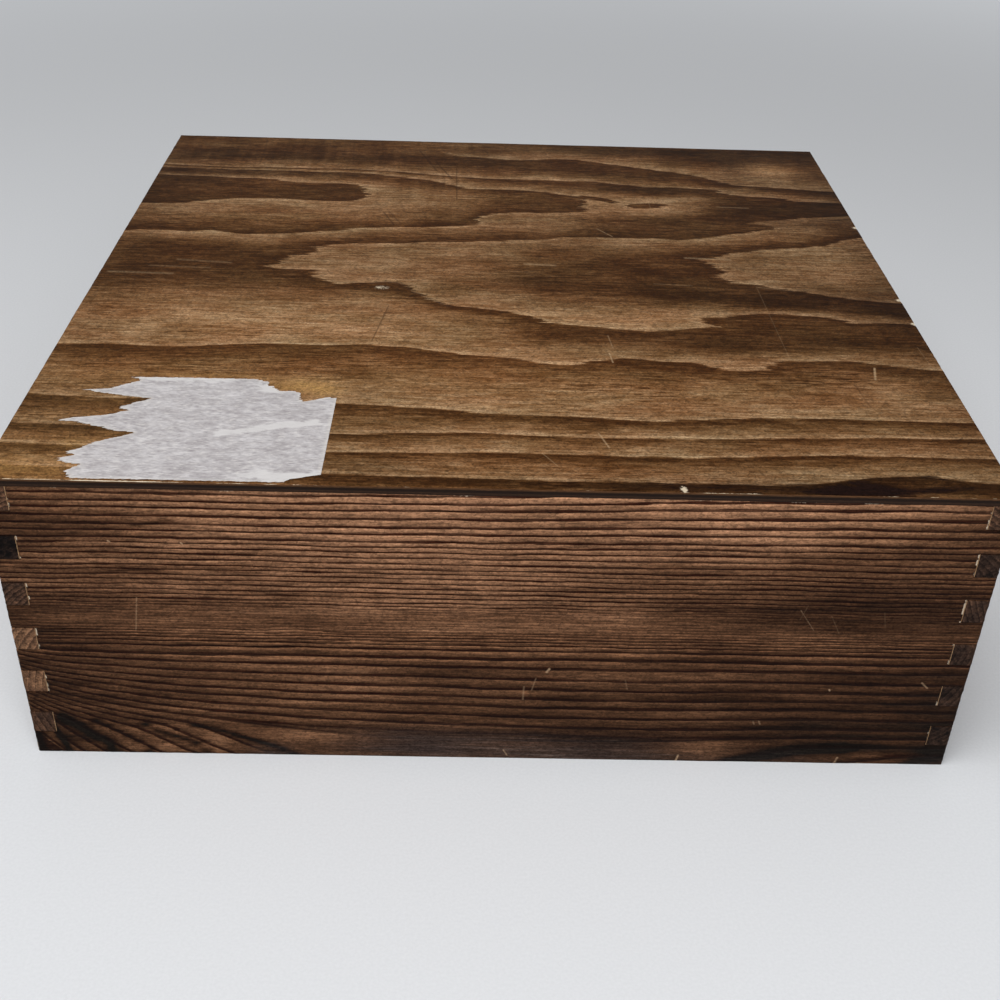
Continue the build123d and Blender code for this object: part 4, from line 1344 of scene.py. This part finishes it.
def pale_floor(name):
    """Matt painted studio floor. Farther out than the lamps reach it is seen as pale as the backdrop,
    while the object gets only its ordinary bounce."""
    material, tree = start_material(name)
    metres = add(tree, "TexCoord", output="Object")
    grit = add(tree, "TexNoise", {"Vector": metres, "Scale": 900.0, "Detail": 2.0})
    paint = add(tree, "ValToRGB", {"Fac": grit}, stops=((0.3, "#D9DBDE"), (0.7, "#DEE0E3")))
    roughness = add(tree, "MapRange", (grit, 0.0, 1.0, 0.85, 0.95))
    painted = add(tree, "BsdfPrincipled", {"Base Color": paint, "Roughness": roughness, "IOR": 1.45})
    far = add(tree, "VectorMath", (metres,), operation="LENGTH", output="Value")
    far = add(tree, "MapRange", (far, 0.5, 1.9), interpolation_type="SMOOTHSTEP")
    far = add(tree, "Math", (far, seen_directly(tree)), operation="MULTIPLY")
    even = add(tree, "Emission", {"Color": (*linear("#D4D7DB"), 1), "Strength": 1.0})
    add(tree, "OutputMaterial", {"Surface": add(tree, "MixShader", (far, painted, even))})
    return material


class STORAGEBOX_OT_stage(bpy.types.Operator):
    """Set up the pale floor, the soft lights and the camera"""

    bl_idname = "storagebox.stage"
    bl_label = "Stage, Lights and Camera"

    def execute(self, context):
        scene = context.scene
        light = scene.stage_light
        mesh = bpy.data.meshes.new("floor")
        corners = [(FLOOR_HALF * x, FLOOR_HALF * y, 0) for x, y in ((-1, -1), (1, -1), (1, 1), (-1, 1))]
        mesh.from_pydata(corners, [], [(0, 1, 2, 3)])
        mesh.materials.append(pale_floor("matt_studio_paint"))
        floor = bpy.data.objects.new("floor", mesh)
        scene.collection.objects.link(floor)

        def soft_light(name, place, aim, size, watts):
            lamp = bpy.data.lights.new(name, "AREA")
            lamp.shape = "DISK"
            lamp.size = size
            lamp.energy = watts
            stand = bpy.data.objects.new(name, lamp)
            stand.location = place
            stand.rotation_euler = (Vector(aim) - Vector(place)).to_track_quat("-Z", "Y").to_euler()
            scene.collection.objects.link(stand)

        soft_light("top_light", (-0.40, -0.58, 1.50), (0, 0, 0.06), 1.3, light.top_watts)
        soft_light("front_light", (0.35, -1.20, 0.80), (0, -0.1, 0.07), 0.7, light.front_watts)

        world = bpy.data.worlds.new("studio")
        world.use_nodes = True
        tree = world.node_tree
        tree.nodes.clear()
        lit = add(tree, "Background", {"Color": (1, 1, 1, 1), "Strength": light.world_strength})
        # The pale backdrop reaches about 25 degrees up, and the studio above it is dim
        direction = add(tree, "TexCoord", output="Generated")
        up = add(tree, "SeparateXYZ", {"Vector": direction}, output="Z")
        backdrop = add(tree, "ValToRGB", {"Fac": up}, stops=((0.12, "#D4D7DB"), (0.45, "#33353A")))
        pale = add(tree, "Background", {"Color": backdrop, "Strength": 1.0})
        mixed = add(tree, "MixShader", (seen_directly(tree), lit, pale))
        add(tree, "OutputWorld", {"Surface": mixed})
        scene.world = world

        camera = bpy.data.cameras.new("camera")
        camera.lens = CAMERA_LENS
        camera.sensor_width = CAMERA_SENSOR
        camera.clip_start = 0.02
        stand = bpy.data.objects.new("camera", camera)
        stand.location = CAMERA_PLACE
        stand.rotation_euler = Euler([math.radians(a) for a in CAMERA_TURN])
        scene.collection.objects.link(stand)
        scene.camera = stand
        scene.view_settings.view_transform = "Standard"
        return {"FINISHED"}


class STORAGEBOX_OT_walls(bpy.types.Operator):
    """Build the four flamed wall boards with their box joints"""

    bl_idname = "storagebox.walls"
    bl_label = "Wall Boards"

    def execute(self, context):
        sizes = context.scene.box_sizes
        finish = context.scene.pine_finish
        materials = (
            flamed_pine("flamed_brushed_pine", finish, end_grain=False),
            flamed_pine("flamed_pine_end_grain", finish, end_grain=True),
            bare_pine("bare_planed_pine", finish),
        )
        boards = (
            # Name, quarter turns, first pin row, rings, scorch (on the front with painted shade and a painted
            # highlight), scorch of the end grain by row, and how much the shoulders are chipped by row, at
            # the left and right end
            ("front_board", 0, 1, front_rings, front_scorch_and_shade, None,
             ((0.75, 0.85, 1.05, 1.0, 0.85, 0.7), (0.85, 1.2, 1.25, 0.85, 0.8, 0.65))),
            ("right_board", 1, 0, log_rings(64, 44, 2.3, 21), other_scorch(22, 0.25),
             (0.6, 0.6, 0.72, 0.6, 0.70, 0.6, 0.76, 0.6, 0.82, 0.6, 0.80, 0.6), None),
            ("back_board", 2, 1, log_rings(128, 34, 2.5, 25), other_scorch(26, 0.20), None, None),
            ("left_board", 3, 0, log_rings(92, 40, 2.2, 28), other_scorch(29, 0.22),
             (0.5, 0.6, 0.96, 0.6, 0.64, 0.6, 0.26, 0.6, 0.32, 0.6, 0.64, 0.6), None),
        )
        for node, *traits in boards:
            piece = wall_board(f"flamed_{node}", *traits, sizes, finish, materials)
            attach(piece, "box")
            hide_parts(node)
        return {"FINISHED"}


class STORAGEBOX_OT_bottom(bpy.types.Operator):
    """Give the plywood bottom and its staples their materials"""

    bl_idname = "storagebox.bottom"
    bl_label = "Bottom Panel and Staples"

    def execute(self, context):
        plywood = bare_plywood("bare_bottom_plywood", context.scene.plywood_finish.bare, from_points=False)
        dress_node("bottom_panel", plywood)
        dress_node("bottom_staples", zinc_wire("zinc_coated_wire"))
        return {"FINISHED"}


class STORAGEBOX_OT_lid(bpy.types.Operator):
    """Build the flamed plywood lid"""

    bl_idname = "storagebox.lid"
    bl_label = "Lid Panel"

    def execute(self, context):
        finish = context.scene.plywood_finish
        materials = (
            flamed_veneer("flamed_softwood_veneer", finish.tooth_mm),
            plywood_edge("scorched_plywood_edge"),
            bare_plywood("bare_plywood_underside", finish.bare, from_points=True),
        )
        piece = lid_board("flamed_lid_panel", context.scene.box_sizes, materials)
        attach(piece, "lid")
        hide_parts("lid_panel")
        return {"FINISHED"}


class STORAGEBOX_OT_cleats(bpy.types.Operator):
    """Give the cleats under the lid and their staples their materials"""

    bl_idname = "storagebox.cleats"
    bl_label = "Cleats and Staples"

    def execute(self, context):
        pine = cleat_pine("planed_pine_batten")
        dress_node("lid_cleat_left", pine)
        dress_node("lid_cleat_right", pine)
        dress_node("lid_staples", zinc_wire("zinc_coated_lid_wire"))
        return {"FINISHED"}


class STORAGEBOX_OT_label(bpy.types.Operator):
    """Build what is left of the torn paper label"""

    bl_idname = "storagebox.label"
    bl_label = "Torn Label"

    def execute(self, context):
        piece = label_paper("torn_paper_label", scuffed_paper("scuffed_uncoated_paper"))
        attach(piece, "lid")
        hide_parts("torn_label")
        return {"FINISHED"}


def dress_node(node, material):
    """Put one material on a CAD node."""
    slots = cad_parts[node].data.materials
    slots.clear()
    slots.append(material)


class STORAGEBOX_PT_panel(bpy.types.Panel):
    """Sizes, finishes and the operators that build the box"""

    bl_idname = "STORAGEBOX_PT_panel"
    bl_label = "Storage Box"
    bl_space_type = "VIEW_3D"
    bl_region_type = "UI"
    bl_category = "Storage Box"

    def draw(self, context):
        for operator in OPERATORS:
            self.layout.operator(operator.bl_idname)
        for key, group in SETTINGS.items():
            column = self.layout.column(heading=group.__doc__)
            for name in group.__annotations__:
                column.prop(getattr(context.scene, key), name)


SETTINGS = {
    "box_sizes": BoxSizes,
    "pine_finish": PineFinish,
    "plywood_finish": PlywoodFinish,
    "stage_light": StageLight,
}
OPERATORS = (
    STORAGEBOX_OT_stage, STORAGEBOX_OT_walls, STORAGEBOX_OT_bottom, STORAGEBOX_OT_lid, STORAGEBOX_OT_cleats,
    STORAGEBOX_OT_label,
)


def register():
    for key, group in SETTINGS.items():
        bpy.utils.register_class(group)
        setattr(bpy.types.Scene, key, PointerProperty(type=group))
    for item in (*OPERATORS, STORAGEBOX_PT_panel):
        bpy.utils.register_class(item)


def unregister():
    for item in reversed((*OPERATORS, STORAGEBOX_PT_panel)):
        bpy.utils.unregister_class(item)
    for key, group in reversed(SETTINGS.items()):
        delattr(bpy.types.Scene, key)
        bpy.utils.unregister_class(group)


def main():
    register()
    bpy.ops.storagebox.stage()
    bpy.ops.storagebox.walls()
    bpy.ops.storagebox.bottom()
    bpy.ops.storagebox.lid()
    bpy.ops.storagebox.cleats()
    bpy.ops.storagebox.label()


if __name__ == "__main__":
    main()
